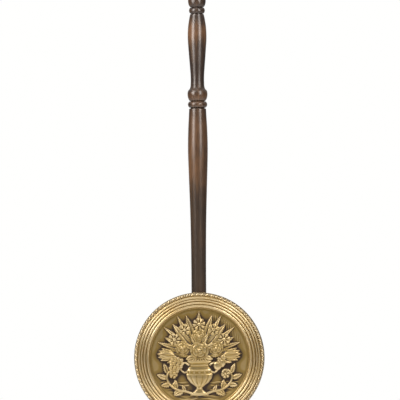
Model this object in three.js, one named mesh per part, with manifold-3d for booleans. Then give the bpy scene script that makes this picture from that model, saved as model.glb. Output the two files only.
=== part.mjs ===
// A bed warming pan: a shallow brass pan with a hinged, ringed lid, on a long handle of turned wood.
// Millimetres. +Z runs up the handle, the lid faces -Y, and the pan's flat base faces +Y.
// The origin is the centre of the eye that the whole thing hangs by, on the handle's own axis.
//
// Pieces of the pan are drawn in the pan's frame: its centre is on the pan's axis in the plane of the rim,
// +Y runs back from the rim to the base (a place along it is called "back"), and +Z points at the handle.
// Pieces of the handle are drawn by their radius and their height above the pan's centre.
import * as THREE from "three";
import { mergeVertices } from "three/addons/utils/BufferGeometryUtils.js";
import Module from "manifold-3d";

const wasm = await Module();
wasm.setup();

// ---- Driving dimensions ----

const GAP = 0.3; // left between two pieces that touch
const FACETED_GAP = 0.45; // the same, for a flat face on a faceted ring
const RUNNING_GAP = 0.6; // left between the knuckles of the hinge

const EYE_HEIGHT = 800; // centre of the hanging eye above the pan's centre
const HANDLE_BACK = 33; // the handle's axis behind the plane of the rim

const SHEET_STEPS = 60; // facets round the pan and the lid
const TURNED_STEPS = 20; // facets round the handle
const SMALL_STEPS = 12; // facets round a stud, a bolt or a knuckle

const LID_RADIUS = 127; // a nominal 10 inch lid
const LID_SHEET = 1;
const SKIRT_DEPTH = 5; // how far the lid's edge turns back over the rim
const FIELD_RADIUS = 95; // the round field in the middle of the lid, which holds the relief
const RELIEF_GROUND = 0.9; // in front of the rim, at the edge of the field
const RELIEF_DOME = 0.9; // what the middle of the ground adds
const RELIEF_SLOPE = 2.2; // of the side of a raised form
const RELIEF_RISE = 0.8;
const RELIEF_LIMIT = 7;
const RELIEF_SPREAD = 1.05;
const RELIEF_CELLS = 36;

const PAN_DEPTH = 66;
const PAN_SHEET = 1.2;
const WALL_TOP_RADIUS = 117.5; // outside of the wall, just behind the rolled rim
const WALL_TOP_BACK = 4;
const WALL_TAPER = 0.17; // radius lost for each millimetre of depth
const CORNER_RADIUS = 12; // wall to base, on the outside
const FOOT_INNER_RADIUS = 70; // the base rests on a flat ring outside this
const BASE_DISH = 1.5; // how far the middle of the base stands clear

const WIRE_RADIUS = 1.6; // iron wire inside the rolled rim
const ROLL_INNER_RADIUS = WIRE_RADIUS + 0.4;
const ROLL_OUTER_RADIUS = ROLL_INNER_RADIUS + PAN_SHEET;
const ROLL_BACK = ROLL_OUTER_RADIUS;
const ROLL_START = Math.PI;
const ROLL_END = Math.PI * 2.6;

const HINGE_BACK = 9.2;
const HINGE_HEIGHT = 122.4;
const KNUCKLE_RADIUS = 3;
const KNUCKLE_BORE = 1.8;
const HINGE_PIN_RADIUS = 1.5;
const LID_KNUCKLE_LENGTH = 12.8;
const HINGE_LENGTH = 36;
const LEAF_SHEET = 1;
const LID_LEAF_HALF_WIDTH = 14;

const PLATE_HALF_WIDTH = 32; // the hinge leaf and the socket's flange on the pan's wall
const PLATE_END_BACK = 54;
const PAN_LEAF_START_BACK = 10.8;
const FLANGE_START_BACK = 12.6;
const FLANGE_SHEET = 1.6;
const CUP_RADIUS = 17.3;
const CUP_BORE = 15.2;
const CUP_TOP_HEIGHT = 124.5; // just inside the lid's edge, so that the lid hides it from the front

const BOLT_RADIUS = 3;
const BOLT_HEAD_RADIUS = 6;
const BOLT_HEAD_HEIGHT = 3.5;
const BOLT_HEAD_TOP = 108; // height of the head's underside, which faces the wall
const BOLT_END = 158;
const WASHER_RADIUS = 9;

const RIVET_RADIUS = 1.5;
const RIVET_HEAD_RADIUS = 3.2;
const RIVET_HEAD_HEIGHT = 1.8;
const SOCKET_RIVET_ANGLE = 0.23; // to each side of the handle, round the pan's axis
const SOCKET_RIVET_BACKS = [20, 46];
const LID_RIVET_RADIUS = 1.1;
const LID_RIVET_HEAD_RADIUS = 2;
const LID_RIVET_HEAD_HEIGHT = 0.9;
const LID_RIVET_ANGLE = 0.075;
const LID_RIVET_BACK = 2.5;

const SHAFT_RADIUS = 14.5; // the handle where it enters its cup
const LOWER_JOINT = 487; // heights at which the handle's sections screw together
const UPPER_JOINT = 671;
const FINIAL_TOP = 781;
const STUD_RADIUS = 4;
const STUD_REACH = 25; // into each of the two sections that it joins
const EYE_RADIUS = 10.2; // centre line of the eye
const EYE_WIRE_RADIUS = 2.4;
const EYE_SHANK_END = 750;
const COLLAR_HEIGHT = 5.5;

const BRASS = { color: 0xb5925a, roughness: 0.32, metalness: 1 };
const PAN_BRASS = { color: 0xa8854e, roughness: 0.38, metalness: 1 };
const WOOD = { color: 0x5a4030, roughness: 0.38, metalness: 0 };
const STEEL = { color: 0x77736c, roughness: 0.5, metalness: 1 };

// ---- Shapes ----

const point = (radius, along) => new THREE.Vector2(radius, along);

// A profile's signed area, positive when it runs the way that LatheGeometry needs for faces that point outwards.
function profileArea(profile) {
  return profile.reduce((sum, p, i) => {
    const q = profile[(i + 1) % profile.length];
    return sum + (p.x * q.y - q.x * p.y) / 2;
  }, 0);
}

// Turns a profile round Y. It starts and ends on the axis, or is a loop that this closes.
function turnedRoundY(profile, steps) {
  const run = profileArea(profile) < 0 ? [...profile].reverse() : [...profile];
  const touchesAxis = run[0].x === 0 && run[run.length - 1].x === 0;
  if (!touchesAxis) run.push(run[0].clone());
  return new THREE.LatheGeometry(run, steps);
}

// The same, standing up along Z.
const turnedRoundZ = (profile, steps) => turnedRoundY(profile, steps).rotateX(Math.PI / 2);

function arc(centreRadius, centreAlong, radius, from, to, steps) {
  return Array.from({ length: steps + 1 }, (_, i) => {
    const angle = from + ((to - from) * i) / steps;
    return point(centreRadius + radius * Math.cos(angle), centreAlong + radius * Math.sin(angle));
  });
}

const smooth = (points, steps) => new THREE.SplineCurve(points).getPoints(steps);

function cylinderAlongZ(radius, from, to, steps = SMALL_STEPS) {
  return new THREE.CylinderGeometry(radius, radius, to - from, steps)
    .rotateX(Math.PI / 2)
    .translate(0, 0, (from + to) / 2);
}

function cylinderAlongX(radius, from, to) {
  return new THREE.CylinderGeometry(radius, radius, to - from, SMALL_STEPS)
    .rotateZ(Math.PI / 2)
    .translate((from + to) / 2, 0, 0);
}

function box(xs, ys, zs) {
  return new THREE.BoxGeometry(xs[1] - xs[0], ys[1] - ys[0], zs[1] - zs[0]).translate(
    (xs[0] + xs[1]) / 2,
    (ys[0] + ys[1]) / 2,
    (zs[0] + zs[1]) / 2,
  );
}

// A block that stands up along Z from the pan's axis, with the outline of a plate with rounded corners.
function plateBlock(halfWidth, startBack, endBack, cornerRadius) {
  const [w, r] = [halfWidth, cornerRadius];
  const outline = new THREE.Shape()
    .moveTo(-w + r, startBack)
    .lineTo(w - r, startBack)
    .quadraticCurveTo(w, startBack, w, startBack + r)
    .lineTo(w, endBack - r)
    .quadraticCurveTo(w, endBack, w - r, endBack)
    .lineTo(-w + r, endBack)
    .quadraticCurveTo(-w, endBack, -w, endBack - r)
    .lineTo(-w, startBack + r)
    .quadraticCurveTo(-w, startBack, -w + r, startBack);
  return new THREE.ExtrudeGeometry(outline, { depth: 2 * WALL_TOP_RADIUS, bevelEnabled: false, curveSegments: 3 });
}

function solid(geometry) {
  const bare = geometry.clone().deleteAttribute("normal").deleteAttribute("uv");
  const merged = mergeVertices(bare, 1e-3);
  return new wasm.Manifold(
    new wasm.Mesh({
      numProp: 3,
      vertProperties: merged.attributes.position.array,
      triVerts: new Uint32Array(merged.index.array),
    }),
  );
}

const joined = (...geometries) => geometries.map(solid).reduce((all, next) => all.add(next));
const cut = (body, ...tools) => tools.reduce((left, tool) => left.subtract(solid(tool)), body);

function geometryOf(body) {
  const mesh = body.getMesh();
  const geometry = new THREE.BufferGeometry()
    .setAttribute("position", new THREE.BufferAttribute(mesh.vertProperties, 3))
    .setIndex(new THREE.BufferAttribute(mesh.triVerts, 1));
  geometry.computeVertexNormals();
  return geometry;
}

function piece(name, geometry, finish) {
  const mesh = new THREE.Mesh(geometry, new THREE.MeshStandardMaterial(finish));
  mesh.name = name;
  return mesh;
}

// ---- The pan's wall, which the plates and rivets follow ----

const wallAngle = Math.atan(WALL_TAPER);
const wallRadius = (back) => WALL_TOP_RADIUS - WALL_TAPER * (back - WALL_TOP_BACK);

// Everything inside the wall's outer surface, grown outwards by offset.
function wallCore(offset) {
  const [front, rear] = [-20, PAN_DEPTH + 20];
  const profile = [
    point(0, front),
    point(wallRadius(front) + offset, front),
    point(wallRadius(rear) + offset, rear),
    point(0, rear),
  ];
  return turnedRoundY(profile, SHEET_STEPS);
}

// A curved plate that lies on the wall between two offsets.
function wallPlate(inner, outer, startBack) {
  const block = plateBlock(PLATE_HALF_WIDTH, startBack, PLATE_END_BACK, 8);
  return solid(wallCore(outer)).intersect(solid(block)).subtract(solid(wallCore(inner)));
}

// Puts a piece that is drawn along Z on the wall, with its Z along the wall's outward normal.
function onWall(geometry, angle, back) {
  return geometry
    .clone()
    .rotateX(-wallAngle)
    .translate(0, back, wallRadius(back))
    .rotateY(angle);
}

// The same on the lid's skirt, whose side is straight.
function onSkirt(geometry, angle, back) {
  return geometry.clone().translate(0, back, LID_RADIUS).rotateY(angle);
}

const socketRivetPlaces = SOCKET_RIVET_BACKS.flatMap((back) =>
  [-SOCKET_RIVET_ANGLE, SOCKET_RIVET_ANGLE].map((angle) => ({ angle, back })),
);
const lidRivetPlaces = [-LID_RIVET_ANGLE, LID_RIVET_ANGLE].map((angle) => ({ angle, back: LID_RIVET_BACK }));

const socketRivetHoles = () =>
  socketRivetPlaces.map(({ angle, back }) => onWall(cylinderAlongZ(RIVET_RADIUS + GAP, -8, 8), angle, back));
const lidRivetHoles = () =>
  lidRivetPlaces.map(({ angle, back }) => onSkirt(cylinderAlongZ(LID_RIVET_RADIUS + GAP, -5, 3), angle, back));
const boltHole = () =>
  cylinderAlongZ(BOLT_RADIUS + GAP, WALL_TOP_RADIUS - 20, CUP_TOP_HEIGHT, SMALL_STEPS * 2).translate(0, HANDLE_BACK, 0);

// ---- The pan ----

function panBowl() {
  const rollRadius = wallRadius(ROLL_BACK) + ROLL_INNER_RADIUS;
  const cornerBack = PAN_DEPTH - CORNER_RADIUS;
  const cornerCentre = wallRadius(cornerBack) - CORNER_RADIUS / Math.cos(wallAngle);
  const corner = (radius) => arc(cornerCentre, cornerBack, radius, Math.PI / 2, wallAngle, 4);
  const inside = PAN_DEPTH - PAN_SHEET;
  const profile = [
    point(0, PAN_DEPTH - BASE_DISH),
    point(FOOT_INNER_RADIUS - 3, PAN_DEPTH - BASE_DISH),
    point(FOOT_INNER_RADIUS, PAN_DEPTH),
    ...corner(CORNER_RADIUS),
    ...arc(rollRadius, ROLL_BACK, ROLL_INNER_RADIUS, ROLL_START, ROLL_END, 7),
    ...arc(rollRadius, ROLL_BACK, ROLL_OUTER_RADIUS, ROLL_END, ROLL_START, 9),
    ...corner(CORNER_RADIUS - PAN_SHEET).reverse(),
    point(FOOT_INNER_RADIUS, inside),
    point(FOOT_INNER_RADIUS - 3, inside - BASE_DISH),
    point(0, inside - BASE_DISH),
  ];
  const bowl = solid(turnedRoundY(profile, SHEET_STEPS));
  return piece("pan_bowl", geometryOf(cut(bowl, boltHole(), ...socketRivetHoles())), PAN_BRASS);
}

function rimWire() {
  const rollRadius = wallRadius(ROLL_BACK) + ROLL_INNER_RADIUS;
  const section = arc(rollRadius, ROLL_BACK, WIRE_RADIUS, 0, Math.PI * 2, 6).slice(1);
  return piece("rim_wire", turnedRoundY(section, SHEET_STEPS), STEEL);
}

// ---- The lid ----

// A round moulding, from its inner foot to its outer one, as heights in front of the rim.
function moulding(innerRadius, outerRadius, innerFoot, outerFoot, crest) {
  return [0, 0.22, 0.5, 0.78].map((share) => {
    const foot = innerFoot + (outerFoot - innerFoot) * share;
    const rise = Math.sin(Math.PI * share);
    return point(innerRadius + (outerRadius - innerRadius) * share, foot + (crest - foot) * rise);
  });
}

// Where a place on the field is in a form's own frame: along it from its base, and across it.
function within(x, up, [baseX, baseUp], degrees) {
  const angle = (degrees * Math.PI) / 180;
  const [dx, dy] = [x - baseX, up - baseUp];
  return [dx * Math.cos(angle) + dy * Math.sin(angle), dy * Math.cos(angle) - dx * Math.sin(angle)];
}

const limited = (value) => Math.min(Math.max(value, 0), 1);
const domed = (share) => Math.sqrt(limited(1 - share * share));

// Each form gives its height at a place on the field, and falls away steeply outside its outline.
const raised = (inside, crown, lift) =>
  lift + (inside > 0 ? crown + Math.min(RELIEF_SLOPE * inside, 0.5) : RELIEF_SLOPE * inside);

function leaf(base, degrees, length, width, rise, lift) {
  return (x, up) => {
    const [along, across] = within(x, up, base, degrees);
    const share = limited(along / length);
    const half = (width / 2) * Math.sin(Math.PI * share ** 0.75) ** 0.8;
    const past = Math.max(0, -along) + Math.max(0, along - length);
    const side = limited(Math.abs(across) / Math.max(half, 0.4));
    const crown = rise * (0.55 * domed(side) + 0.45 * Math.sin(Math.PI * side));
    return raised(half - Math.abs(across) - past, crown * (0.65 + 0.35 * Math.sin(Math.PI * share)), lift);
  };
}

function bloom([centreX, centreUp], radius, rise, lift) {
  return (x, up) => {
    const away = Math.hypot(x - centreX, up - centreUp);
    return raised(radius - away, rise * domed(away / radius), lift);
  };
}

function stem(places, width, rise, lift) {
  return (x, up) => {
    let best = -99;
    for (let i = 1; i < places.length; i++) {
      const [[px, py], [qx, qy]] = [places[i - 1], places[i]];
      const [dx, dy] = [qx - px, qy - py];
      const share = limited(((x - px) * dx + (up - py) * dy) / (dx * dx + dy * dy));
      best = Math.max(best, width / 2 - Math.hypot(x - px - share * dx, up - py - share * dy));
    }
    return raised(best, best > 0 ? rise * domed(1 - best / (width / 2)) : 0, lift);
  };
}

const between = (value, places, values) => {
  const next = Math.min(Math.max(places.findIndex((place) => place > value), 1), places.length - 1);
  const share = limited((value - places[next - 1]) / (places[next] - places[next - 1]));
  return values[next - 1] + (values[next] - values[next - 1]) * share;
};

// A footed urn, by its half widths from the foot up.
function urn(lift) {
  const ups = [-70, -66.5, -65, -62, -58, -55, -52, -46, -38, -30, -24, -19, -15.5, -13, -10, -8, -5];
  const halves = [17, 17, 13.5, 9, 5.5, 5.5, 9, 17, 22.5, 24.5, 23.5, 20.5, 17.5, 17.5, 20.5, 22.5, 23];
  return (x, up) => {
    const half = between(up, ups, halves);
    const crest = between(up, [-70, -64, -58, -52, -38, -24, -14, -5], [2.6, 3.0, 2.6, 3.6, 5.2, 5.0, 3.8, 4.4]);
    const inside = Math.min(half - Math.abs(x), up + 70, -5 - up);
    return raised(inside, crest * domed(Math.abs(x) / half), lift);
  };
}

const bothSides = [-1, 1];
const aimed = (side, degrees) => (side > 0 ? degrees : 180 - degrees);

// A leafy scroll on each side of the urn's foot, ending in a flower.
const scrolls = bothSides.flatMap((side) => [
  stem(
    [[14, -66], [26, -62], [38, -60], [50, -54], [58, -44], [60, -33], [55, -24], [47, -22], [42, -28]].map(
      ([x, up]) => [side * x, up],
    ),
    4.4,
    2.2,
    3,
  ),
  ...[
    [[30, -61], -28, 19, 10],
    [[42, -57], 78, 17, 8],
    [[54, -49], -8, 17, 10],
    [[60, -38], 20, 20, 10],
    [[59, -29], 70, 20, 9],
    [[50, -53], 128, 13, 7],
    [[26, -62], 62, 13, 7],
    [[40, -60], -50, 12, 7],
  ].map(([[x, up], degrees, length, width]) => leaf([side * x, up], aimed(side, degrees), length, width, 2.2, 2.6)),
  bloom([side * 48.5, -30], 7.6, 3, 4.2),
]);

// Grapes on the left and pears on the right, under leaves.
const fruit = [
  leaf([-36, 2], 205, 26, 14, 2.4, 3.6),
  leaf([-34, -2], 236, 20, 11, 2.2, 4.2),
  ...[0, 1, 2, 3, 4, 5, 6].map((row) =>
    bloom([-39 - row * 2.1, -2 - row * 4.9], [7.5, 8.8, 8.8, 7.5, 7.5, 5.5, 3.7][row], 3.2, 4.6),
  ),
  leaf([36, 2], -25, 26, 14, 2.4, 3.6),
  bloom([41, -9], 8.7, 4.2, 3.6),
  bloom([33.5, -15], 7.8, 4.2, 4.6),
  bloom([45, 0.5], 5.1, 3.2, 5),
  leaf([35, 0], -62, 15, 8, 2, 7),
];

// The flowers that stand in the urn, in front of a fan of long leaves.
const bouquet = [
  ...[
    [8, 54, 17, 3], [28, 58, 16, 2.8], [50, 62, 17, 3], [72, 64, 16, 2.6], [90, 67, 15, 2.4],
    [18, 66, 12, 2.4], [61, 70, 11, 2.2], [39, 70, 11, 2.2],
  ].flatMap(([degrees, length, width, lift]) =>
    bothSides.map((side) => {
      const turn = aimed(side, degrees);
      const base = [14 * Math.cos((turn * Math.PI) / 180), 4 + 14 * Math.sin((turn * Math.PI) / 180)];
      return leaf(base, turn, length, width, 2.6, lift);
    }),
  ),
  ...bothSides.flatMap((side) => [
    stem([[side * 12, 4], [side * 30, 3], [side * 46, 4]], 3.4, 1.6, 3.4),
    leaf([side * 45, 4], aimed(side, 6), 32, 26, 3.2, 4.6),
    bloom([side * 46, 34], 10.6, 3.4, 4.2),
    bloom([side * 27, 52], 10, 3.4, 4),
    bloom([side * 31, 18], 13.5, 5, 4.2),
    leaf([side * 9, 3], aimed(side, -20), 17, 9, 2, 5.2),
  ]),
  bloom([0, 62], 10.6, 3.4, 4.2),
  bloom([0, 40], 13.5, 5, 4),
  bloom([0, 14], 17.5, 6, 5),
];

const handles = bothSides.map((side) =>
  stem([[20, -13], [27, -9], [34, -13], [34, -22], [28, -27], [23, -26]].map(([x, up]) => [side * x, up]), 3.6, 2, 4.2),
);

const reliefForms = [...scrolls, ...fruit, ...bouquet, urn(2.6), ...handles];

function reliefHeight(x, up) {
  const away = Math.hypot(x, up);
  const ground = RELIEF_GROUND + RELIEF_DOME * (1 - (away / 96) ** 2);
  const [formX, formUp] = [x / RELIEF_SPREAD, up / RELIEF_SPREAD];
  const highest = reliefForms.reduce((height, form) => Math.max(height, form(formX, formUp)), ground);
  const height = ground + (highest - ground) * RELIEF_RISE * limited((FIELD_RADIUS - 5 - away) / 3.5);
  return height > RELIEF_LIMIT ? RELIEF_LIMIT + (height - RELIEF_LIMIT) * 0.75 : height;
}

// The mean height round a place, because the facets are wider than the finest forms.
function reliefLevel(x, up) {
  const steps = [-1.8, -0.6, 0.6, 1.8];
  return steps.reduce((sum, dx) => sum + steps.reduce((part, dy) => part + reliefHeight(x + dx, up + dy), 0), 0) / 16;
}

// The field as a sheet in relief. Its outermost cells lie inside the ring of the lid that carries it.
function reliefSheet() {
  const count = RELIEF_CELLS + 1;
  const radius = FIELD_RADIUS - 0.5;
  const corners = [];
  for (const under of [false, true]) {
    for (let i = 0; i < count; i++) {
      for (let j = 0; j < count; j++) {
        const [u, v] = [(2 * i) / RELIEF_CELLS - 1, (2 * j) / RELIEF_CELLS - 1];
        const [x, up] = [radius * u * Math.sqrt(1 - (v * v) / 2), radius * v * Math.sqrt(1 - (u * u) / 2)];
        const edge = i % RELIEF_CELLS === 0 || j % RELIEF_CELLS === 0;
        const level = reliefLevel(x, up);
        const front = edge ? RELIEF_GROUND - 0.1 : level;
        const height = under ? (edge ? front - 0.5 : front - LID_SHEET - 0.05 * (level - RELIEF_GROUND)) : front;
        corners.push(x, -height, up);
      }
    }
  }
  const faces = [];
  const at = (layer, i, j) => (layer * count + i) * count + j;
  for (let i = 0; i < RELIEF_CELLS; i++) {
    for (let j = 0; j < RELIEF_CELLS; j++) {
      const [a, b, c, d] = [[i, j], [i + 1, j], [i + 1, j + 1], [i, j + 1]];
      const halves = (i + j) % 2 ? [[a, b, c], [a, c, d]] : [[a, b, d], [b, c, d]];
      for (const [p, q, r] of halves) {
        faces.push(at(0, ...p), at(0, ...q), at(0, ...r), at(1, ...p), at(1, ...r), at(1, ...q));
      }
    }
  }
  const border = [];
  for (let i = 0; i < RELIEF_CELLS; i++) border.push([i, 0]);
  for (let j = 0; j < RELIEF_CELLS; j++) border.push([RELIEF_CELLS, j]);
  for (let i = RELIEF_CELLS; i > 0; i--) border.push([i, RELIEF_CELLS]);
  for (let j = RELIEF_CELLS; j > 0; j--) border.push([0, j]);
  border.forEach((p, k) => {
    const q = border[(k + 1) % border.length];
    faces.push(at(0, ...q), at(0, ...p), at(1, ...p), at(0, ...q), at(1, ...p), at(1, ...q));
  });
  const sheet = new THREE.BufferGeometry();
  sheet.setAttribute("position", new THREE.Float32BufferAttribute(corners, 3));
  sheet.setIndex(faces);
  return new wasm.Manifold(
    new wasm.Mesh({ numProp: 3, vertProperties: sheet.attributes.position.array, triVerts: new Uint32Array(faces) }),
  );
}

function lidShell() {
  const front = [
    point(FIELD_RADIUS - 5, RELIEF_GROUND + 0.25),
    point(FIELD_RADIUS + 0.5, RELIEF_GROUND + 0.25),
    ...moulding(98.8, 104.2, 5, 5, 7.2),
    ...moulding(104.2, 109.3, 5, 4.6, 8),
    point(109.3, 4.6),
    point(111.8, 5.2),
    ...moulding(114.5, 119.9, 3.8, 1.6, 6),
    ...moulding(119.9, LID_RADIUS, 1.6, 0, 4.6),
    point(LID_RADIUS, 0),
  ];
  const rim = front.length - 1;
  const lastFlange = front.findIndex((p) => p.x > LID_RADIUS - LID_SHEET);
  const under = front.slice(0, lastFlange).map((p) => point(p.x, p.y - LID_SHEET - (p.x < FIELD_RADIUS + 1 ? 0.25 : 0)));
  const profile = [
    ...front,
    point(LID_RADIUS, -SKIRT_DEPTH),
    point(LID_RADIUS - LID_SHEET, -SKIRT_DEPTH),
    point(LID_RADIUS - LID_SHEET, front[rim].y),
    ...under.reverse(),
  ].map((p) => point(p.x, -p.y));
  const shell = solid(turnedRoundY(profile, SHEET_STEPS)).add(reliefSheet());
  return piece("lid_shell", geometryOf(cut(shell, ...lidRivetHoles())), BRASS);
}

// ---- The hinge ----

const atHinge = (geometry) => geometry.translate(0, HINGE_BACK, HINGE_HEIGHT);
const hingeBore = () => atHinge(cylinderAlongX(KNUCKLE_BORE, -HINGE_LENGTH, HINGE_LENGTH));

function lidHingeLeaf() {
  const half = LID_KNUCKLE_LENGTH / 2;
  const outer = LID_RADIUS - LID_SHEET - GAP;
  const [start, end] = [0, SKIRT_DEPTH + 0.5];
  const ring = turnedRoundY(
    [point(outer - LEAF_SHEET, start), point(outer, start), point(outer, end), point(outer - LEAF_SHEET, end)],
    SHEET_STEPS,
  );
  const window = box([-LID_LEAF_HALF_WIDTH, LID_LEAF_HALF_WIDTH], [start - 1, end + 1], [0, 2 * LID_RADIUS]);
  const top = HINGE_HEIGHT + KNUCKLE_RADIUS;
  const tongue = box([-half, half], [end - 1, HINGE_BACK], [top - LEAF_SHEET, top]);
  const knuckle = atHinge(cylinderAlongX(KNUCKLE_RADIUS, -half, half));
  const leaf = solid(ring).intersect(solid(window)).add(joined(tongue, knuckle));
  return piece("lid_hinge_leaf", geometryOf(cut(leaf, hingeBore(), ...lidRivetHoles())), BRASS);
}

function panHingeLeaf() {
  const [near, far] = [LID_KNUCKLE_LENGTH / 2 + RUNNING_GAP, HINGE_LENGTH / 2];
  const webFront = HINGE_BACK + KNUCKLE_RADIUS - LEAF_SHEET;
  const knuckles = [-1, 1].flatMap((side) => {
    const span = side < 0 ? [-far, -near] : [near, far];
    const web = box(span, [webFront, webFront + LEAF_SHEET], [wallRadius(webFront) - 3, HINGE_HEIGHT]);
    return [atHinge(cylinderAlongX(KNUCKLE_RADIUS, ...span)), web];
  });
  const leaf = wallPlate(GAP, GAP + LEAF_SHEET, PAN_LEAF_START_BACK).add(
    joined(...knuckles).subtract(solid(wallCore(GAP))),
  );
  const drilled = cut(leaf, hingeBore(), boltHole(), ...socketRivetHoles());
  return piece("pan_hinge_leaf", geometryOf(drilled), PAN_BRASS);
}

function hingePin() {
  const end = HINGE_LENGTH / 2 + GAP;
  const headEnd = end + 1.1;
  const shank = cylinderAlongX(HINGE_PIN_RADIUS, -headEnd, headEnd);
  const heads = [-1, 1].map((side) => cylinderAlongX(2.3, side < 0 ? -headEnd : end, side < 0 ? -end : headEnd));
  return piece("hinge_pin", atHinge(geometryOf(joined(shank, ...heads))), STEEL);
}

// ---- The socket that carries the handle ----

const flangeFoot = GAP + LEAF_SHEET + GAP;
const flangeTop = flangeFoot + FLANGE_SHEET;

function handleSocket() {
  const cup = cylinderAlongZ(CUP_RADIUS, WALL_TOP_RADIUS - 12, CUP_TOP_HEIGHT, 28).translate(0, HANDLE_BACK, 0);
  const bore = cylinderAlongZ(CUP_BORE, WALL_TOP_RADIUS - 14, CUP_TOP_HEIGHT + 2, 28).translate(0, HANDLE_BACK, 0);
  const hollow = solid(bore).subtract(solid(wallCore(flangeTop)));
  const flange = wallPlate(flangeFoot, flangeTop, FLANGE_START_BACK);
  const body = flange.add(solid(cup).subtract(solid(wallCore(flangeFoot)))).subtract(hollow);
  return piece("handle_socket", geometryOf(cut(body, boltHole(), ...socketRivetHoles())), BRASS);
}

// A rivet along Z, with a domed head outside and a flatter one inside.
function rivet(radius, headRadius, headHeight, from, to) {
  const profile = [
    point(0, from - headHeight * 0.8),
    point(headRadius * 0.7, from - headHeight * 0.7),
    point(headRadius * 0.9, from),
    point(radius, from),
    point(radius, to),
    point(headRadius, to),
    point(headRadius * 0.8, to + headHeight * 0.6),
    point(headRadius * 0.4, to + headHeight * 0.93),
    point(0, to + headHeight),
  ];
  return turnedRoundZ(profile, SMALL_STEPS);
}

function socketRivets() {
  const shape = rivet(RIVET_RADIUS, RIVET_HEAD_RADIUS, RIVET_HEAD_HEIGHT, -PAN_SHEET - FACETED_GAP, flangeTop + GAP);
  return socketRivetPlaces.map(({ angle, back }, i) =>
    piece(`socket_rivet_${i + 1}`, onWall(shape, angle, back), BRASS),
  );
}

function lidRivets() {
  const inside = -LID_SHEET - GAP - LEAF_SHEET - FACETED_GAP;
  const shape = rivet(LID_RIVET_RADIUS, LID_RIVET_HEAD_RADIUS, LID_RIVET_HEAD_HEIGHT, inside, GAP);
  return lidRivetPlaces.map(({ angle, back }, i) => piece(`lid_rivet_${i + 1}`, onSkirt(shape, angle, back), BRASS));
}

function handleBolt() {
  const headStart = BOLT_HEAD_TOP - BOLT_HEAD_HEIGHT;
  const profile = [
    point(0, headStart),
    point(BOLT_HEAD_RADIUS * 0.6, headStart + 0.3),
    point(BOLT_HEAD_RADIUS, headStart + 1.8),
    point(BOLT_HEAD_RADIUS, BOLT_HEAD_TOP),
    point(BOLT_RADIUS, BOLT_HEAD_TOP),
    point(BOLT_RADIUS, BOLT_END - 4),
    point(0, BOLT_END),
  ];
  const slot = box([-BOLT_HEAD_RADIUS, BOLT_HEAD_RADIUS], [-0.7, 0.7], [headStart - 1, headStart + 1.3]);
  const bolt = cut(solid(turnedRoundZ(profile, SMALL_STEPS * 2)), slot);
  return piece("handle_bolt", geometryOf(bolt).translate(0, HANDLE_BACK, 0), STEEL);
}

// A wedge between the bolt's flat head and the sloping wall.
function boltWasher() {
  const disc = cylinderAlongZ(WASHER_RADIUS, BOLT_HEAD_TOP + GAP, WALL_TOP_RADIUS, 24).translate(0, HANDLE_BACK, 0);
  const washer = solid(disc).intersect(solid(wallCore(-PAN_SHEET - GAP)));
  return piece("bolt_washer", geometryOf(cut(washer, boltHole())), BRASS);
}

// ---- The handle, in three sections ----

function boredDown(top, radius, reach) {
  return [point(radius + GAP, top), point(radius + GAP, top - reach - 1), point(0, top - reach - 1)];
}

function boredUp(bottom, radius, reach) {
  return [point(0, bottom + reach + 1), point(radius + GAP, bottom + reach + 1), point(radius + GAP, bottom)];
}

function lowerShaft() {
  const foot = WALL_TOP_RADIUS - 8; // inside the socket's flange, which the end is then scribed to
  const taper = smooth(
    [
      point(SHAFT_RADIUS, 118),
      point(14.5, 171),
      point(14.9, 229),
      point(16.0, 288),
      point(17.8, 346),
      point(19.4, 402),
      point(18.7, 443),
      point(16.6, LOWER_JOINT - 1),
    ],
    13,
  );
  const profile = [
    ...boredUp(foot, BOLT_RADIUS, BOLT_END - foot),
    point(SHAFT_RADIUS, foot),
    ...taper,
    point(16, LOWER_JOINT),
    ...boredDown(LOWER_JOINT, STUD_RADIUS, STUD_REACH),
  ];
  const shaft = solid(turnedRoundZ(profile, TURNED_STEPS).translate(0, HANDLE_BACK, 0));
  return piece("lower_shaft", geometryOf(cut(shaft, wallCore(flangeTop + GAP))), WOOD);
}

// A rounded bead round the handle, between two heights.
function bead(bottom, top, neck, crest, steps = 5) {
  return Array.from({ length: steps + 1 }, (_, i) => {
    const share = i / steps;
    return point(neck + (crest - neck) * Math.sin(Math.PI * share) ** 0.7, bottom + (top - bottom) * share);
  });
}

function middleGrip() {
  const bottom = LOWER_JOINT + GAP;
  const bulb = smooth([point(15.6, 503), point(18.6, 508.5), point(19.5, 514.5), point(18.4, 521)], 5);
  const vase = smooth(
    [
      point(14.6, 526),
      point(13.3, 532),
      point(13.2, 549),
      point(14.5, 568),
      point(16.8, 598),
      point(18.4, 624),
      point(17.6, 645),
      point(15.1, 662),
      point(13.1, UPPER_JOINT),
    ],
    13,
  );
  const profile = [
    ...boredUp(bottom, STUD_RADIUS, STUD_REACH),
    ...bead(bottom, 500.5, 16, 18.9),
    ...bulb,
    ...vase,
    ...boredDown(UPPER_JOINT, STUD_RADIUS, STUD_REACH),
  ];
  return piece("middle_grip", turnedRoundZ(profile, TURNED_STEPS), WOOD);
}

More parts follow.
